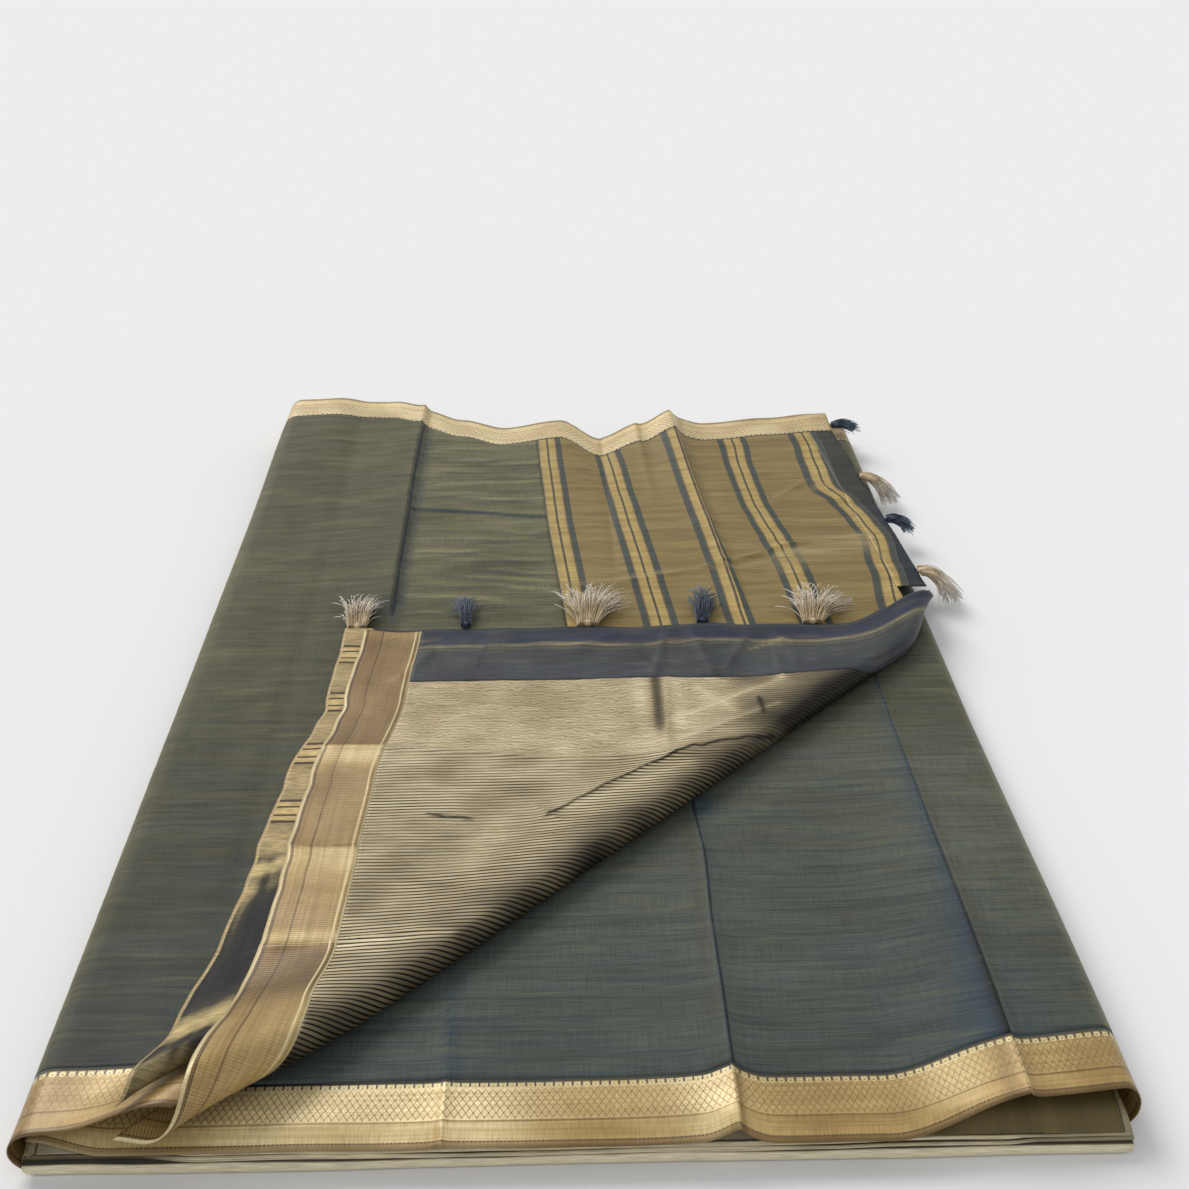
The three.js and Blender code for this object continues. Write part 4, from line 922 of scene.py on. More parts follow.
def tassel_silk(name, root, tip):
    """Loose twisted silk floss, softly shiny, a little darker in places at random."""
    material, tree, shader = blank(name, {
        "Roughness": 0.5, "Metallic": 0.0, "Specular IOR Level": 0.4, "IOR": 1.5, "Sheen Weight": 0.35,
        "Sheen Roughness": 0.4,
    })
    weave = node(tree, "UVMap", {"uv_map": "weave"}, {})
    place = node(tree, "SeparateXYZ", {}, {0: weave.outputs[0]})
    blend = node(tree, "ValToRGB", {"stops": [(0.0, root), (0.25, root), (1.0, tip)]},
                 {0: place.outputs[0]})
    each = node(tree, "TexNoise", {"Scale": 3.1, "Detail": 0.0, "noise_dimensions": "2D"},
                {"Vector": weave.outputs[0]})
    shade = node(tree, "ValToRGB", {"stops": [(0.3, "#cdc4b6"), (0.65, "#ffffff")]}, {0: each.outputs[0]})
    final = node(tree, "MixRGB", {"blend_type": "MULTIPLY", "Fac": 0.5},
                 {"Color1": blend.outputs[0], "Color2": shade.outputs[0]})
    tree.links.new(final.outputs[0], shader.inputs["Base Color"])
    twist = node(tree, "TexWave", {"bands_direction": "DIAGONAL", "Scale": 40.0},
                 {"Vector": weave.outputs[0]})
    bump = node(tree, "Bump", {"Strength": 0.2, "Distance": 0.0003}, {"Height": twist.outputs[1]})
    tree.links.new(bump.outputs[0], shader.inputs["Normal"])
    return material


def stacked_cloth():
    """The edges of the layers inside: selvages of the border at the near and far sides, olive cloth
    elsewhere. The first tone is painted shade between two layers and under the panels, the second the
    border's dull back together with a painted dulling of the hollows and of the far and side faces."""
    material, tree, shader = blank("stacked cotton silk layers", {
        "Roughness": 0.6, "Metallic": 0.1, "Specular IOR Level": 0.35, "IOR": 1.5,
    })
    weave = node(tree, "UVMap", {"uv_map": "weave"}, {})
    lit = node(tree, "UVMap", {"uv_map": "tone"}, {})
    tone = node(tree, "SeparateXYZ", {}, {0: lit.outputs[0]})
    place = node(tree, "SeparateXYZ", {}, {0: weave.outputs[0]})
    gold = node(tree, "ValToRGB", {
        "stops": [(0.0, "#fff4d2"), (0.05, "#faecc2"), (0.055, "#55523f"), (1.0, "#5a573f")],
    }, {0: place.outputs[1]})
    dull = node(tree, "MixRGB", {"Color2": linear("#7f7146")},
                {"Fac": tone.outputs[1], "Color1": gold.outputs[0]})
    # Painted shade between the layers and under the panels, from the first tone.
    deep = node(tree, "MixRGB", {"Color2": linear("#373120")},
                {"Fac": tone.outputs[0], "Color1": dull.outputs[0]})
    along = node(tree, "Mapping", {"Scale": (60, 900, 1)}, {0: weave.outputs[0]})
    slub = node(tree, "TexNoise", {"Scale": 1.0, "Detail": 3.0}, {"Vector": along.outputs[0]})
    fine = node(tree, "ValToRGB", {"stops": [(0.3, "#8f8b80"), (0.7, "#ffffff")]}, {0: slub.outputs[0]})
    final = node(tree, "MixRGB", {"blend_type": "MULTIPLY", "Fac": 0.6},
                 {"Color1": deep.outputs[0], "Color2": fine.outputs[0]})
    tree.links.new(final.outputs[0], shader.inputs["Base Color"])
    bump = node(tree, "Bump", {"Strength": 0.3, "Distance": 0.0004}, {"Height": slub.outputs[0]})
    tree.links.new(bump.outputs[0], shader.inputs["Normal"])
    return material


CLOTH_FINISH = body_cloth()
BORDER_FINISH = zari_border()
STRIPED_FINISH = striped_end()
TISSUE_FINISH = ribbed_tissue()
NAVY_FINISH = navy_band()
REVERSE_FINISH = border_reverse()
CREAM_FINISH = tassel_silk("cream silk floss", "#e4cca2", "#fffbf2")
DARK_FINISH = tassel_silk("dark blue silk floss", "#26374a", "#4a6680")
STACK_FINISH = stacked_cloth()


# ---------------------------------------------------------------- camera
CAMERA_PLACE = np.array([10.4, -602.3, 711.8])
camera_data = bpy.data.cameras.new("camera")
camera_data.lens = 45.42
camera_data.sensor_width = 36.0
camera = bpy.data.objects.new("camera", camera_data)
camera.location = ((CAMERA_PLACE + SHIFT) * MM).tolist()
camera.rotation_euler = Euler((math.radians(60.56), 0, math.radians(-1.48)))
bpy.context.collection.objects.link(camera)
bpy.context.scene.camera = camera


# ---------------------------------------------------------------- lower panel, the third layer
GRID = 3.6  # spacing of the sheets' points
right_wrap = RIGHT_FOLD["x"] + FOLD_ARC * FOLD_TURN
left_wrap = LEFT_FOLD["x"] - FOLD_ARC * FOLD_TURN


def lower_near(x):
    return read(LOWER_EDGE, "y", x)


def lower_far(x):
    return far_edge(np.minimum(x, 330)) - 3


def rows_between(low, high, spacing=GRID):
    """Shares from 0 to 1, for rows about a spacing apart over a length."""
    return np.linspace(0, 1, max(2, int(round((high - low) / spacing)) + 1))


def lower_tone(x, y):
    """Painted shade: blue along the left of the two long creases and near black in them; olive further off.
    """
    near = 1 - ramp(330, 520, y)
    place = x - RISE_AT
    reach = 7 + 9 * (1 - ramp(60, 240, y))
    blue = 0.9 * np.where(place < 0, np.exp(place / reach), 0) * near * (0.8 + 0.2 * ripple(y / 60, 0, 70))
    blue = blue + 0.9 * bell(place - 0.4, 0.9) * (1 - ramp(560, 640, y))
    blue = blue + 0.22 * bell(x - 285, 22) * (1 - ramp(60, 200, y))
    ridge = past_second_crease(x, y)
    short = 1 - ramp(290, 335, y)
    blue = blue + (0.85 * bell(ridge - 1.0, 0.9) + 0.34 * np.where(ridge > 0, np.exp(-ridge / 8), 0)) * short
    blue = blue + 0.5 * bell(x - 116, 9) * bell(y - 292, 12)
    first = past_first_crease(x, y)
    blue = blue + (0.7 * bell(first, 0.9) + 0.3 * bell(first - 4, 5)) * (1 - ramp(90, 150, y))
    olive = 0.18 + 0.04 * ramp(285, 325, x) + 0.22 * ramp(250, 480, y) + 0.1 * ripple(x / 70, y / 12, 50)
    olive = olive + 0.14 * bell(ridge + 6, 6) * short + 0.15 * bell(x - 282, 4) * near
    return np.clip(blue, 0, 1), np.clip(olive, 0, 1)


def lower_columns(left):
    """Places in X for the lower panel's points, closest together at its two long creases."""
    end = np.full_like(left, right_wrap)
    stops = [left, np.maximum(103, left + 5), np.maximum(113, left + 8), np.maximum(272, left + 14),
             np.maximum(282, left + 20), np.full_like(left, RIGHT_FOLD["x"]), end]
    return spaced(stops, [62, 10, 38, 12, 12, 12])


def lower_field():
    share = rows_between(30, 960)
    guess = lower_near(0) + LOWER_BORDER + (lower_far(300) - BORDER - lower_near(0) - LOWER_BORDER) * share
    x = lower_columns(np.clip(guess - DIAGONAL - 34, -298, 284))
    near = lower_near(x) + LOWER_BORDER
    y = near + (lower_far(x) - BORDER - near) * share[:, None]
    return thin_sheet("lower_body_cloth", lower_surface, x, y, (x, y), lower_tone(x, y), CLOTH_FINISH,
                      "lower_panel_field")


def lower_near_border():
    x = spaced([-298, -68, -56, 102, 114, 271, 283, right_wrap], [64, 14, 44, 14, 46, 14, 26])[None]
    depth = LOWER_BORDER * np.linspace(0, 1, 19)[:, None]
    y = lower_near(x) + depth
    # Painted light and shade on the gold: dull where shaded, bright where lit.
    painted_shading = 0.1 + 0.34 * ramp(-30, 20, x) + 0.14 * ramp(108, 150, x) + 0.08 * ripple(x / 30, 0, 60)
    painted_shading = painted_shading - 0.3 * bell(x - 92, 16) - 0.25 * bell(x - 238, 22) - 0.14 * bell(x + 48, 12)
    painted_shading = painted_shading + 0.35 * bell(x + 64, 3) + 0.12 * ramp(277, 279, x) + 0.3 * bell(x - 268, 7)
    painted_shading = painted_shading + 0.4 * bell(x - 111, 2.5) - 0.1 * bell(x - 300, 12)
    # Painted highlights along the crease edges, where the gold is drawn at its brightest.
    edges = bell(past_first_crease(x, y), 0.8) + bell(x - RISE_AT - 0.5, 0.9)
    edges = edges + 0.8 * bell(past_second_crease(x, y), 0.8)
    tone = (np.clip(painted_shading * (1 - np.minimum(edges, 1)), 0, 1), 0 * x + 0 * y)
    weave = (x + 0 * y, depth * BORDER / LOWER_BORDER)
    return thin_sheet("lower_near_border_cloth", lower_surface, x, y, weave, tone, BORDER_FINISH,
                      "lower_panel_near_border")


def lower_far_border():
    x = np.linspace(284, right_wrap, 28)[None]
    depth = BORDER * np.linspace(0, 1, 15)[:, None]
    y = lower_far(x) - depth
    # The gold is painted at one middle shade along this border.
    return thin_sheet("lower_far_border_cloth", lower_surface, x, y, (x + 0 * y, depth), (0 * y + 0.4, 0 * y),
                      BORDER_FINISH, "lower_panel_far_border")


# ---------------------------------------------------------------- top panel, the first layer
FAR_ROW = 960.0
RIDGE_AT = -145.0
TOP_COUNTS = [14, 38, 14, 52]
STRIPE_COUNTS = [60, 1, 40, 40]
BAND_COUNT = 8


def top_columns(y):
    right = np.minimum(roll_side(y), stripes_left(y))
    ridge = np.minimum(RIDGE_AT, right - 40)
    past = np.minimum(ridge + 16, right - 8)
    stops = [np.full_like(right, left_wrap), np.full_like(right, LEFT_FOLD["x"]), ridge - 5, past - 7, right]
    return spaced(stops, TOP_COUNTS)


def stripe_columns(y):
    left = stripes_left(y)
    right = np.minimum(panel_end(y) - END_BAND, roll_side(y))
    ridge = pleat_fold(y) - 0.01
    return spaced([left, ridge, ridge + 0.9, (ridge + right) / 2, right], STRIPE_COUNTS)


def band_columns(y):
    return panel_end(y)[:, None] - END_BAND * (1 - np.linspace(0, 1, BAND_COUNT + 1))


def top_piece(near, columns):
    share = rows_between(near, FAR_ROW, 2.5)
    x = columns(near + (FAR_ROW - near) * share)
    return x, near + (far_edge(x) - BORDER - near) * share[:, None]


def top_tone(x, y):
    """Painted shade, slate and then near black, in folds, and from slate through olive to a painted khaki
    highlight on crests.
    """
    folds = 1.0 * bell(past_ridge(x, y) - 2.5, 1.3) * ramp(545, 575, y)
    folds = folds + 0.22 * bell(x + 136, 6) * ramp(540, 600, y)
    line = bell(past_cross_crease(x, y) + 2, 1.7) * ramp(-143, -138, x) * (1 - ramp(-8, 0, x))
    folds = folds + 0.9 * line + 0.22 * bell(x - 45, 20) * ramp(640, 900, y)
    # Painted shade just below each wrinkle's crest, and a painted darkening toward the near side.
    below = np.clip(top_wrinkles(x, y + 4), 0, 1.5) - np.clip(top_wrinkles(x, y), 0, 1.5)
    folds = folds + 0.3 * np.clip(below, 0, 1) * ramp(-138, -128, x)
    folds = folds + 0.13 * (1 - ramp(0, 320, y)) + 0.08 * ripple(x / 60, y / 40, 51) * (1 - ramp(400, 500, y))
    middle = ramp(-138, -128, x)
    # A painted khaki highlight along each wrinkle's crest.
    khaki = 0.26 * np.clip(top_wrinkles(x, y + 1.0), 0, 1.4) * middle
    grey = 0.30 * bell(y - 640, 60) * bell(x + 60, 60)
    olive = 0.52 + 0.08 * ramp(100, 650, y) + 0.08 * ripple(x / 80, y / 20, 52)
    olive = olive + 0.06 * ripple(x / 25, y / 5, 54)
    return np.clip(folds, 0, 1), np.clip(olive + khaki + 0.12 * middle - grey * 0.5, 0, 1)


def top_field():
    x, y = top_piece(TOP_NEAR_EDGE + BORDER, top_columns)
    return thin_sheet("top_body_cloth", top_surface, x, y, (x, y), top_tone(x, y), CLOTH_FINISH,
                      "top_panel_field")


def end_weave(x, y):
    from_end = panel_end(y) - x
    return from_end - stripe_drift(from_end, y), y


def end_tone(x, y):
    """A painted sheen along the crease across the striped end, and the band's turn from olive to navy."""
    crease = 645 + 68 * ramp(143, 320, x) - 26 * ramp(143, 0, x)
    streaked = 0.75 + 0.25 * ripple(x / 40, y / 4, 63)
    sheen = (0.75 * bell(y - crease + 14, 18) * ramp(190, 250, x) + 0.4 * bell(y - crease, 4)) * streaked
    sheen = sheen + 0.3 * bell(y - 800 - 0.5 * (x - 236), 7) * ramp(225, 245, x) * (1 - ramp(275, 300, x))
    sheen = sheen * (x < panel_end(y) - END_BAND + 6)
    return np.clip(sheen, 0, 1), ramp(820, 760, y) + 0 * x


def top_stripes():
    x, y = top_piece(478.0, stripe_columns)
    return thin_sheet("striped_end_cloth", top_surface, x, y, end_weave(x, y), end_tone(x, y), STRIPED_FINISH,
                      "top_panel_stripes")


def top_end_band():
    x, y = top_piece(610.0, band_columns)
    return thin_sheet("end_band_cloth", top_surface, x, y, end_weave(x, y), end_tone(x, y), STRIPED_FINISH,
                      "top_panel_end_band")


def far_tone(x, depth):
    """Painted highlights beside the creases of the far border, and painted shade in them."""
    dull = 0.02 + 0.3 * bell(x - 57, 3) + 0.3 * bell(x - 101, 2.5) + 0.35 * bell(x + 142, 4)
    dull = dull + 0.2 * ramp(180, 300, x)
    dull = dull + 0.3 * bell(x - 149, 4) + 0.1 * ripple(x / 24, depth / 30, 62) - 0.1 * bell(x - 80, 12)
    return np.clip(dull, 0, 1) + 0 * depth, 0 * x + 0 * depth


def top_far_border():
    row = np.array([FAR_ROW])
    x = np.concatenate([top_columns(row)[0], stripe_columns(row)[0][1:], band_columns(row)[0][1:]])[None]
    depth = BORDER * np.linspace(0, 1, 16)[:, None]
    y = far_edge(x) - depth
    return thin_sheet("far_border_cloth", top_surface, x, y, (x + 0 * y, depth), far_tone(x, depth),
                      BORDER_FINISH, "top_panel_far_border")


def top_near_border():
    depth = BORDER * np.linspace(0, 1, 17)
    right = roll_side(TOP_NEAR_EDGE + depth)
    x = spaced([np.full_like(right, left_wrap), np.full_like(right, LEFT_FOLD["x"]), right], [14, 46])
    y = TOP_NEAR_EDGE + depth[:, None] + 0 * x
    # Painted light on the gold: brighter near its left end, less bright elsewhere.
    painted_shading = 0.8 - 0.35 * bell(x + 255, 18) + 0 * y
    return thin_sheet("near_left_border_cloth", top_surface, x, y, (x, depth[:, None]), (painted_shading, 0 * x),
                      BORDER_FINISH, "top_panel_near_border")


# ---------------------------------------------------------------- turned-back corner
FLAP_TIP = 463.0
FLAP_STOPS = [BORDER, 400.0, FLAP_TIP]
FLAP_COUNTS = [184, 26]
FLAT_COUNT, ARC_COUNT = 182, 28
UNDERLAP = 7.0
END_SHOWS = 7.0


def over_roll(start, w):
    end = flap_reach(w, 1.0, ROLL_LEAD)
    bend = np.maximum(flap_reach(w, 0.0, 0.0), start + (end - start) * 0.35)
    return spaced([np.full_like(end, start), bend, end], [FLAT_COUNT, ARC_COUNT])


def strokes(x, y, lines, width):
    """How near a point is to some lines, each from a start to an end: 1 on one of them."""
    return sum(creased(x, y, start, end, width, 1.0, 5.0) for start, end in lines)


# Painted shadows along the creases of the tissue, and painted highlights along their crests.
TISSUE_PAINTED_SHADOWS = [
    ((-2, 264), (36, 294)), ((36, 294), (60, 312)), ((60, 312), (109, 343)), ((109, 343), (178, 360)),
    ((-90, 271), (-57, 266)), ((170, 413), (171, 388)),
]
TISSUE_PAINTED_HIGHLIGHTS = [
    ((100, 356), (188, 404)), ((10, 270), (110, 326)), ((-189, 128), (-61, 139)), ((195, 490), (194, 443)),
    ((120, 440), (150, 392)),
]
TISSUE_BRIGHTEST_HIGHLIGHTS = [((112, 392), (196, 446))]
# Painted shadows and painted glints for the band along the end, in the same way.
BAND_PAINTED_SHADOWS = [
    ((-137, 478), (-105, 516)), ((77, 489), (95, 457)), ((84, 481), (102, 508)), ((-60, 470), (-52, 520)),
    ((150, 462), (176, 520)),
]
BAND_PAINTED_GLINTS = [
    ((-12, 508), (29, 507)), ((102, 510), (117, 512)), ((-118, 512), (-96, 520)), ((170, 492), (205, 512)),
]


def flap_tone(u, w):
    """How dark the ground is painted, with painted shade toward the roll and along creases and painted
    highlights on crests, and how strongly the ribs show.
    """
    x, y = flap_plan(u, w)
    inside = inwards(x, y)
    upper = ramp(355, 385, y)
    # Painted shade toward the roll, in a vertical fold between two painted highlights, and along the crease
    # lines; painted highlights along the crests.
    dark = 0.23 + 0.3 * ramp(44, 4, inside) + 0.25 * ramp(22, -4, inside) + 0.08 * ramp(360, 250, y)
    dark = dark + (0.6 * bell(x - 88, 5) - 0.26 * bell(x - 104, 7) - 0.2 * bell(x - 74, 6)) * upper
    dark = dark + (0.09 + 0.28 * ramp(125, 160, x)) * upper
    dark = dark + 0.16 * ripple(x / 26, y / 18, 56) * ramp(365, 340, y)
    dark = dark + 0.1 * ripple(x / 30, y / 24, 58) * upper
    dark = dark + 0.85 * strokes(x, y + 1.5 * ripple(x / 7, 0, 57), TISSUE_PAINTED_SHADOWS, 1.0)
    dark = dark - 0.3 * strokes(x, y, TISSUE_PAINTED_HIGHLIGHTS, 4.0) - 0.3 * strokes(x, y, TISSUE_BRIGHTEST_HIGHLIGHTS, 5.0)
    crease = 358 - 20 * ramp(-133, 8, x)
    strong = 0.04 + 0.8 * ramp(crease + 1, crease - 1, y) - 0.3 * bell(y - 245, 36) * ramp(-110, -30, x)
    strong = strong + 0.6 * ramp(70, 30, inside) + 0.2 * ramp(180, 130, y)
    strong = strong * (0.98 + 0.3 * ripple(x / 35, y / 22, 68))
    return np.clip(dark, 0, 1), np.clip(strong, 0, 1)


def flap_field():
    w = spaced(FLAP_STOPS, FLAP_COUNTS)
    u = over_roll(FLAP_BAND, w)
    w = w[:, None] + 0 * u
    return thin_sheet("corner_tissue_cloth", flap_surface, u, w, (u, w), flap_tone(u, w), TISSUE_FINISH,
                      "flap_field")


def flap_border():
    w = BORDER * np.linspace(0, 1, 16)
    first = np.linspace(0, FLAP_BAND, 24, endpoint=False)[None] + 0 * w[:, None]
    u = np.concatenate([first, over_roll(FLAP_BAND, w)], axis=1)
    w = w[:, None] + 0 * u
    y = FLAP_END["y"] - u
    # Painted sheen: each stretch between two creases is painted bright at its near end and a darker, tawny
    # gold beyond.
    painted_crease_sheen = 0.56 + 0.38 * ramp(545, 505, y) - 0.78 * ramp(360, 357, y) + 0.62 * ramp(350, 322, y)
    painted_crease_sheen = painted_crease_sheen + 0.12 * ramp(240, 237, y) - 0.6 * ramp(236, 234, y) + 0.46 * ramp(222, 190, y)
    painted_crease_sheen = painted_crease_sheen - 0.5 * bell(y - 143, 7) + 0.5 * ramp(136, 133, y) - 0.66 * ramp(118, 62, y)
    ribs = 0.68 + 0.27 * ramp(150, 120, y) - 0.3 * ramp(100, 60, y) + 0.12 * ripple(0, y / 30, 61)
    return thin_sheet("corner_border_cloth", flap_surface, u, w, (u, w), (np.clip(painted_crease_sheen, 0, 1), ribs),
                      BORDER_FINISH, "flap_border")


def band_tone(u, w):
    """Painted shade along the wrinkles of the end's band, and painted gold highlights where they catch the
    light.
    """
    x, y = flap_plan(u, w)
    dark = 0.1 * ramp(30, 0, u) + 0.25 * np.clip(ripple(w / 3.5, u / 60, 66), 0, 1)
    dark = dark + 0.7 * strokes(x, y, BAND_PAINTED_SHADOWS, 1.6)
    glint = 0.16 * np.clip(ripple(w / 30, u / 5, 67), 0, 1) + 0.8 * strokes(x, y, BAND_PAINTED_GLINTS, 1.4)
    return np.clip(dark, 0, 1), np.clip(glint, 0, 1)


def flap_end_band():
    u = FLAP_BAND * np.linspace(0, 1, 26)
    end = last_true(lambda w: flap_reach(w, 1.0, 4.0) > u, 60, 900, u.shape)
    w = spaced([np.full_like(u, stop) for stop in FLAP_STOPS] + [end], [120, 24, 16])
    u = u[:, None] + 0 * w
    return thin_sheet("corner_band_cloth", flap_surface, u, w, (u, w), band_tone(u, w), NAVY_FINISH,
                      "flap_end_band")


def reverse_tone(u, depth):
    """Where the back is dark silk floats, and where painted gold glints lie on those."""
    drawn = u + 0.5 * depth + 5 * ripple(depth / 5, 0, 53)
    glint = 0.9 * bell(drawn - 318, 9) + 0.35 * bell(drawn - 340, 12) + 1.0 * bell(drawn - 474, 20)
    glint = 0.09 + glint + 0.6 * bell(drawn - 530, 20) + 0.5 * bell(u - 355, 50) * (1 - ramp(3, 15, depth))
    glint = glint + 0.14 * ripple(depth / 2.5, u / 90, 65)
    return ramp(296, 312, u), np.clip(glint, 0, 1)


def under_border():
    share = np.linspace(0, 1, 12)
    guess = -30 + (30 + UNDERLAP) * share
    bend = last_true(lambda u: past_tuck(u, guess) < 0, 0, 900, guess.shape)
    end = last_true(lambda u: past_tuck(u, guess) < TUCK["turn"] * TUCK["radius"], 0, 900, guess.shape)
    u = spaced([np.full_like(bend, -END_SHOWS), bend, end], [150, 16])
    shows = read(FLAP_EDGE, "shows", u)
    w = -shows + (shows + UNDERLAP) * share[:, None]
    return thin_sheet("under_border_cloth", under_surface, u, w, (u, w + shows), reverse_tone(u, w + shows),
                      REVERSE_FINISH, "flap_under_border")


def under_end():
    w = spaced([UNDERLAP] + FLAP_STOPS, [12, 110, 20])[None]
    u = np.linspace(-END_SHOWS, 2, 4)[:, None] + 0 * w
    w = w + 0 * u
    return thin_sheet("under_band_cloth", under_surface, u, w, (u, w), (0 * u, 0 * u), NAVY_FINISH,
                      "flap_under_end")


# ---------------------------------------------------------------- hidden layers
CORE = {
    "left": -291.0, "right": 331.0, "near": -9.5, "far_inset": 6.0, "reach_left": 9.5, "reach_right": 7.0,
}
STACK_REST = 28.4  # the stack's height where the top panel lies straight on it
# Where each layer of the stack begins and ends, as shares of its height, and how far it stands out.
CORE_LAYERS = {
    "from": [0.0, 0.5, 0.62, 0.76, 0.88],
    "to": [0.5, 0.62, 0.76, 0.88, 1.0],
    "out": [2.4, 0.8, 1.8, 0.6, 1.0],
}
RING_PLACES = [0.985, 0.9, 0.7, 0.5, 0.3, 0.1, 0.015]


def core_top(x, y):
    behind = ramp(52, 90, inwards(x, y))
    level = CORE_TOP + (STACK_REST - CORE_TOP) * behind * ramp(48, 85, y) * (1 - ramp(205, 245, x))
    return level - NEAR_DROOP * (1 - ramp(-12, 8, y))


def hidden_layers():
    """The stack inside, closed, with the edges of its five layers rounded on every side."""
    across, along = 180, 150
    x = np.linspace(CORE["left"], CORE["right"], across + 1)
    far = far_edge(x) - CORE["far_inset"]
    share = (np.linspace(0, 1, along + 1) ** 1.3)[:, None]
    grid_y = CORE["near"] + (far - CORE["near"]) * share
    grid_x = x + 0 * share
    top = np.stack([grid_x, grid_y, core_top(grid_x, grid_y) - 0.2], -1)
    index = np.arange(top[..., 0].size).reshape(grid_x.shape)
    quads = [np.stack([index[:-1, :-1].ravel(), index[:-1, 1:].ravel(), index[1:, 1:].ravel(),
                       index[1:, :-1].ravel()], -1)]
    rim = np.concatenate([index[0, :-1], index[:-1, -1], index[-1, :0:-1], index[:0:-1, 0]])
    rim_x, rim_y = grid_x.ravel()[rim], grid_y.ravel()[rim]
    sides = {"near": rim_y == CORE["near"], "left": rim_x == CORE["left"], "right": rim_x == CORE["right"]}
    sides["far"] = ~(sides["near"] | sides["left"] | sides["right"])
    # By the near side the cloth seen below the panel's edge is the dull back of a border.
    open_side = ramp(190, 225, grid_x) * (1 - ramp(30, 60, grid_y)) + 0 * grid_x
    points, previous = [top.reshape(-1, 3)], rim
    weave = [np.stack([grid_x, np.where(grid_y < 70, 20.0, 600.0)], -1).reshape(-1, 2)]
    # The top is painted half in shade under the panels, less so where the border's back shows.
    tone = [np.stack([0.55 - 0.45 * open_side, open_side], -1).reshape(-1, 2)]
    hollow = np.maximum(1 - ramp(-240, -200, rim_x), 0.45 * ramp(262, 285, rim_x)) * sides["near"]
    for layer in range(len(CORE_LAYERS["from"]) - 1, -1, -1):
        low, high, out = (CORE_LAYERS[name][layer] for name in ("from", "to", "out"))
        wander = ripple(rim_x / 70, rim_y / 70, 30 + layer)
        for place in RING_PLACES:
            share = low + (high - low) * place
            bulge = math.sqrt(max(1 - (2 * place - 1) ** 2, 0))
            belly = math.sqrt(max(1 - (2 * share - 1) ** 2, 0))
            deep = 2.4 * (1 - bulge) + 4.0 * hollow * (layer > 0) * (layer < 4)
            lap = out + 1.0 * wander - deep
            ring_x = rim_x - sides["left"] * (CORE["reach_left"] * belly + 0.8 * bulge)
            ring_x = ring_x + sides["right"] * (CORE["reach_right"] * belly + 0.8 * bulge)
            ring_y = rim_y - sides["near"] * lap + sides["far"] * lap
            bow = 1.1 * ripple(rim_x / 80, rim_y / 80, 44) + 0.4 * ripple(rim_x / 35, rim_y / 35, 46 + layer)
            height = core_top(rim_x, rim_y) * share + bow * belly * (share > 0.05)
            points.append(np.stack([ring_x, ring_y, np.maximum(height, 0)], -1))
            depth = np.where(sides["near"] | sides["far"], 10.0, np.minimum(rim_y + 10, far.max() - rim_y))
            weave.append(np.stack([rim_x + rim_y, depth + 40 * (share - 0.5)], -1))
            # Painted shade in the grooves between layers and in the near hollows; the hollows and the far and
            # side faces are also painted more dull.
            dark = ramp(0.5, 0.2, bulge) + 0.7 * hollow * (layer > 0)
            dull = (0.05 + 0.2 * (layer > 0)) * (1 + wander) + 0.5 * hollow * (layer > 0)
            dull = dull + 0.45 * ~sides["near"]
            tone.append(np.stack([np.clip(dark, 0, 1), np.clip(dull, 0, 1)], -1))
            ring = sum(len(p) for p in points[:-1]) + np.arange(len(rim))
            quads.append(np.stack([ring, np.roll(ring, -1), np.roll(previous, -1), previous], -1))
            previous = ring
    centre = sum(len(p) for p in points)
    points.append(np.array([[20.0, 500.0, 0.0]]))
    weave.append(np.array([[0.0, 600.0]]))
    tone.append(np.array([[0.0, 0.0]]))
    faces = np.concatenate(quads).tolist()
    faces += np.stack([np.full(len(rim), centre), np.roll(previous, -1), previous], -1).tolist()
    return build_mesh("stacked_layers", np.concatenate(points), faces, STACK_FINISH, np.concatenate(weave),
                      np.concatenate(tone), "hidden_layers")


# ---------------------------------------------------------------- tassels
HEAD = {"radius": 3.1, "length": 9.0}
RAISED = 0.75 + HEAD["radius"] + 0.3
FLAP_TASSELS = [
    {"w": -8, "lean": 2, "spread": 24, "droop": 0, "root": 8, "length": 46, "lift": 9, "dark": False},
    {"w": 88, "lean": 6, "spread": 9, "droop": 0, "root": 4, "length": 46, "lift": 7, "dark": True},
    {"w": 196, "lean": -12, "spread": 40, "droop": 0, "root": 9, "length": 62, "lift": 11, "dark": False},
    {"w": 298, "lean": -10, "spread": 11, "droop": 0, "root": 5, "length": 54, "lift": 9, "dark": True},
    {"w": 396, "lean": -22, "spread": 38, "droop": 0, "root": 9, "length": 58, "lift": 10, "dark": False},
]
END_TASSELS = [
    {"y": 640, "lean": -34, "spread": 34, "droop": 23, "root": 7, "length": 44, "lift": 3, "dark": False},
    {"y": 750, "lean": 8, "spread": 30, "droop": 12, "root": 5, "length": 30, "lift": 3, "dark": True},
    {"y": 850, "lean": -34, "spread": 34, "droop": 23, "root": 7, "length": 44, "lift": 3, "dark": False},
    {"y": 985, "lean": 14, "spread": 26, "droop": 6, "root": 5, "length": 34, "lift": 3, "dark": True},
]
STRANDS = 150
STATIONS = 9
# The head from its tie outwards: the share of its length, and of its radius.
HEAD_PROFILE = [
    (0.0, 0.02), (0.03, 0.55), (0.12, 0.9), (0.25, 1.0), (0.36, 0.97), (0.4, 0.86), (0.44, 0.96), (0.5, 0.98),
    (0.54, 0.85), (0.58, 0.95), (0.64, 0.97), (0.68, 0.84), (0.8, 0.88), (1.0, 0.7), (1.02, 0.02),
]
HEAD_SIDES = 18
STRAND_SIDES = 3


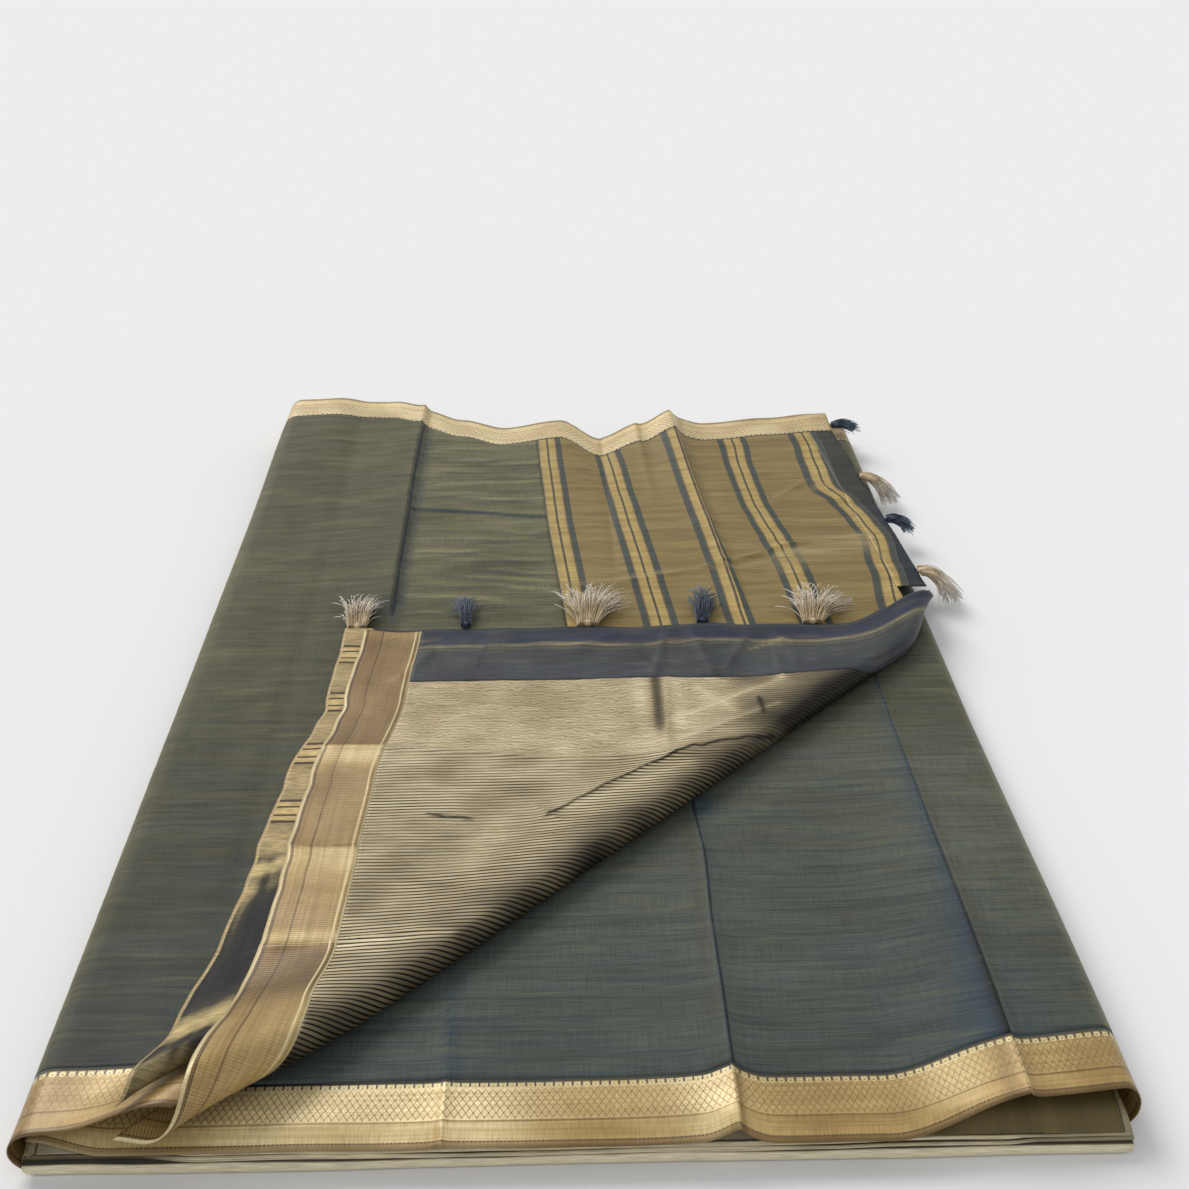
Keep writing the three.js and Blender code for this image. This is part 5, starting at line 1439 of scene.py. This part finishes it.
def tassel(name, seat, forward, row, seed, replaced):
    """A knotted head bound with thread, and loose curved strands that fan out from it."""
    chance = np.random.RandomState(100 + seed)
    up = np.array([0.0, 0.0, 1.0])
    side = np.cross(up, forward)
    start = np.asarray(seat) + 0.8 * forward
    turn = np.arange(HEAD_SIDES) / HEAD_SIDES * 2 * math.pi
    points, faces, weave = [], [], []
    for share, radius in HEAD_PROFILE:
        lumps = 1 + 0.06 * np.sin(3 * turn + seed + share * 5)
        ring = radius * HEAD["radius"] * lumps
        points.extend(start + share * HEAD["length"] * forward + ring[:, None] * (
            np.cos(turn)[:, None] * side + np.sin(turn)[:, None] * up))
        weave.extend([(0.0, 1000.0 * k) for k in turn])
    for k in range(len(HEAD_PROFILE) - 1):
        for j in range(HEAD_SIDES):
            a, b = k * HEAD_SIDES + j, k * HEAD_SIDES + (j + 1) % HEAD_SIDES
            faces.append((a, b, b + HEAD_SIDES, a + HEAD_SIDES))
    lean, spread = math.radians(row["lean"]), math.radians(row["spread"])
    s = np.linspace(0, 1, STATIONS)
    for k in range(STRANDS):
        fan = (k + 0.5) / STRANDS * 2 - 1 + chance.uniform(-0.05, 0.05)
        angle = lean + spread * fan * (0.6 + 0.5 * chance.rand()) + 0.25 * spread * chance.randn()
        level = chance.uniform(-1, 1)
        length = row["length"] * chance.uniform(0.62, 1.02) * (1 - 0.12 * fan * fan)
        bend = chance.uniform(-0.7, 0.7) * spread + 0.3 * chance.randn()
        heading = angle * (0.35 + 0.65 * s) + bend * s * s
        steps = length / (STATIONS - 1)
        ahead = np.concatenate([[0], np.cumsum(np.cos(heading[1:]) * steps)])
        aside = np.concatenate([[0], np.cumsum(np.sin(heading[1:]) * steps)])
        rise = row["lift"] * (0.6 + 0.6 * level) * np.sin(math.pi * 0.7 * s) - row["droop"] * s * s
        rise = rise - (RAISED - 1.2) * s * s * (0.75 - 0.25 * level) * (row["droop"] == 0)
        root = start + 1.5 * forward + fan * row["root"] * side + level * 1.9 * up
        path = root + ahead[:, None] * forward + aside[:, None] * side + rise[:, None] * up
        width = 0.5 * (1 - 0.35 * s)
        first = len(points)
        for station in range(STATIONS):
            direction = path[min(station + 1, STATIONS - 1)] - path[max(station - 1, 0)]
            direction = direction / np.linalg.norm(direction)
            flat = np.cross(up, direction)
            flat = flat / np.linalg.norm(flat)
            above = np.cross(direction, flat)
            for corner in range(STRAND_SIDES):
                twist = corner * 2 * math.pi / STRAND_SIDES + 0.6 * station
                outward = math.cos(twist) * flat + math.sin(twist) * above
                points.append(path[station] + width[station] * outward)
                weave.append((1000.0 * s[station], 1000.0 * k * 7.3))
        for station in range(STATIONS - 1):
            begin = first + station * STRAND_SIDES
            for corner in range(STRAND_SIDES):
                a, b = begin + corner, begin + (corner + 1) % STRAND_SIDES
                faces.append((a, b, b + STRAND_SIDES, a + STRAND_SIDES))
        last = len(points) - STRAND_SIDES
        faces.append((last, last + 1, last + 2))
    finish, slot = (DARK_FINISH, "dark_silk") if row["dark"] else (CREAM_FINISH, "cream_silk")
    tone = np.zeros((len(points), 2))
    return build_mesh(name, np.array(points), faces, finish, np.array(weave), tone, replaced)


# ---------------------------------------------------------------- assembly
hidden_layers()
sheets = {
    "lower_body": lower_field(),
    "lower_near": lower_near_border(),
    "lower_far": lower_far_border(),
    "top_body": top_field(),
    "stripes": top_stripes(),
    "end_band": top_end_band(),
    "far_border": top_far_border(),
    "near_border": top_near_border(),
    "tissue": flap_field(),
    "corner_border": flap_border(),
    "corner_band": flap_end_band(),
    "under_border": under_border(),
    "under_band": under_end(),
}
for k, row in enumerate(FLAP_TASSELS):
    seat = under_surface(np.array(-END_SHOWS), np.array(float(row["w"])))
    seat[2] = max(seat[2], TOP_MID + RAISED)
    tassel(f"corner_tassel_{k + 1}", seat, np.array([0.0, 1.0, 0.0]), row, k + 1, f"flap_tassel_{k + 1}")
end_forward = np.array([1.0, -PANEL_END["lean"], 0.0]) / math.hypot(1.0, PANEL_END["lean"])
for k, row in enumerate(END_TASSELS):
    at = float(row["y"])
    seat = top_surface(np.array(float(panel_end(min(at, FAR_ROW)))), np.array(at))
    tassel(f"side_tassel_{k + 1}", seat, end_forward, row, k + 11, f"end_tassel_{k + 1}")

# ---------------------------------------------------------------- floor and light
floor_mesh = bpy.data.meshes.new("floor")
floor_mesh.from_pydata([(-9, -5, 0), (9, -5, 0), (9, 14, 0), (-9, 14, 0)], [], [(0, 1, 2, 3)])
floor = bpy.data.objects.new("floor", floor_mesh)
bpy.context.collection.objects.link(floor)
floor_mesh.materials.append(blank("pale floor", {
    "Base Color": linear("#f0f0f0"), "Roughness": 0.9, "Specular IOR Level": 0.0,
})[0])

world = bpy.data.worlds.new("studio")
world.use_nodes = True
world.node_tree.nodes["Background"].inputs["Color"].default_value = linear("#fafcff")
world.node_tree.nodes["Background"].inputs["Strength"].default_value = 0.62
bpy.context.scene.world = world

# A broad soft light from the far left, far enough away to light the floor evenly.
key_data = bpy.data.lights.new("window", "SUN")
key_data.angle = math.radians(35)
key_data.energy = 1.78
key_data.color = linear("#fffcf7")[:3]
key = bpy.data.objects.new("window", key_data)
key.rotation_euler = (-Vector((-1.5, 1.9, 2.2))).to_track_quat("-Z", "Y").to_euler()
bpy.context.collection.objects.link(key)
bpy.context.scene.view_settings.view_transform = "Standard"
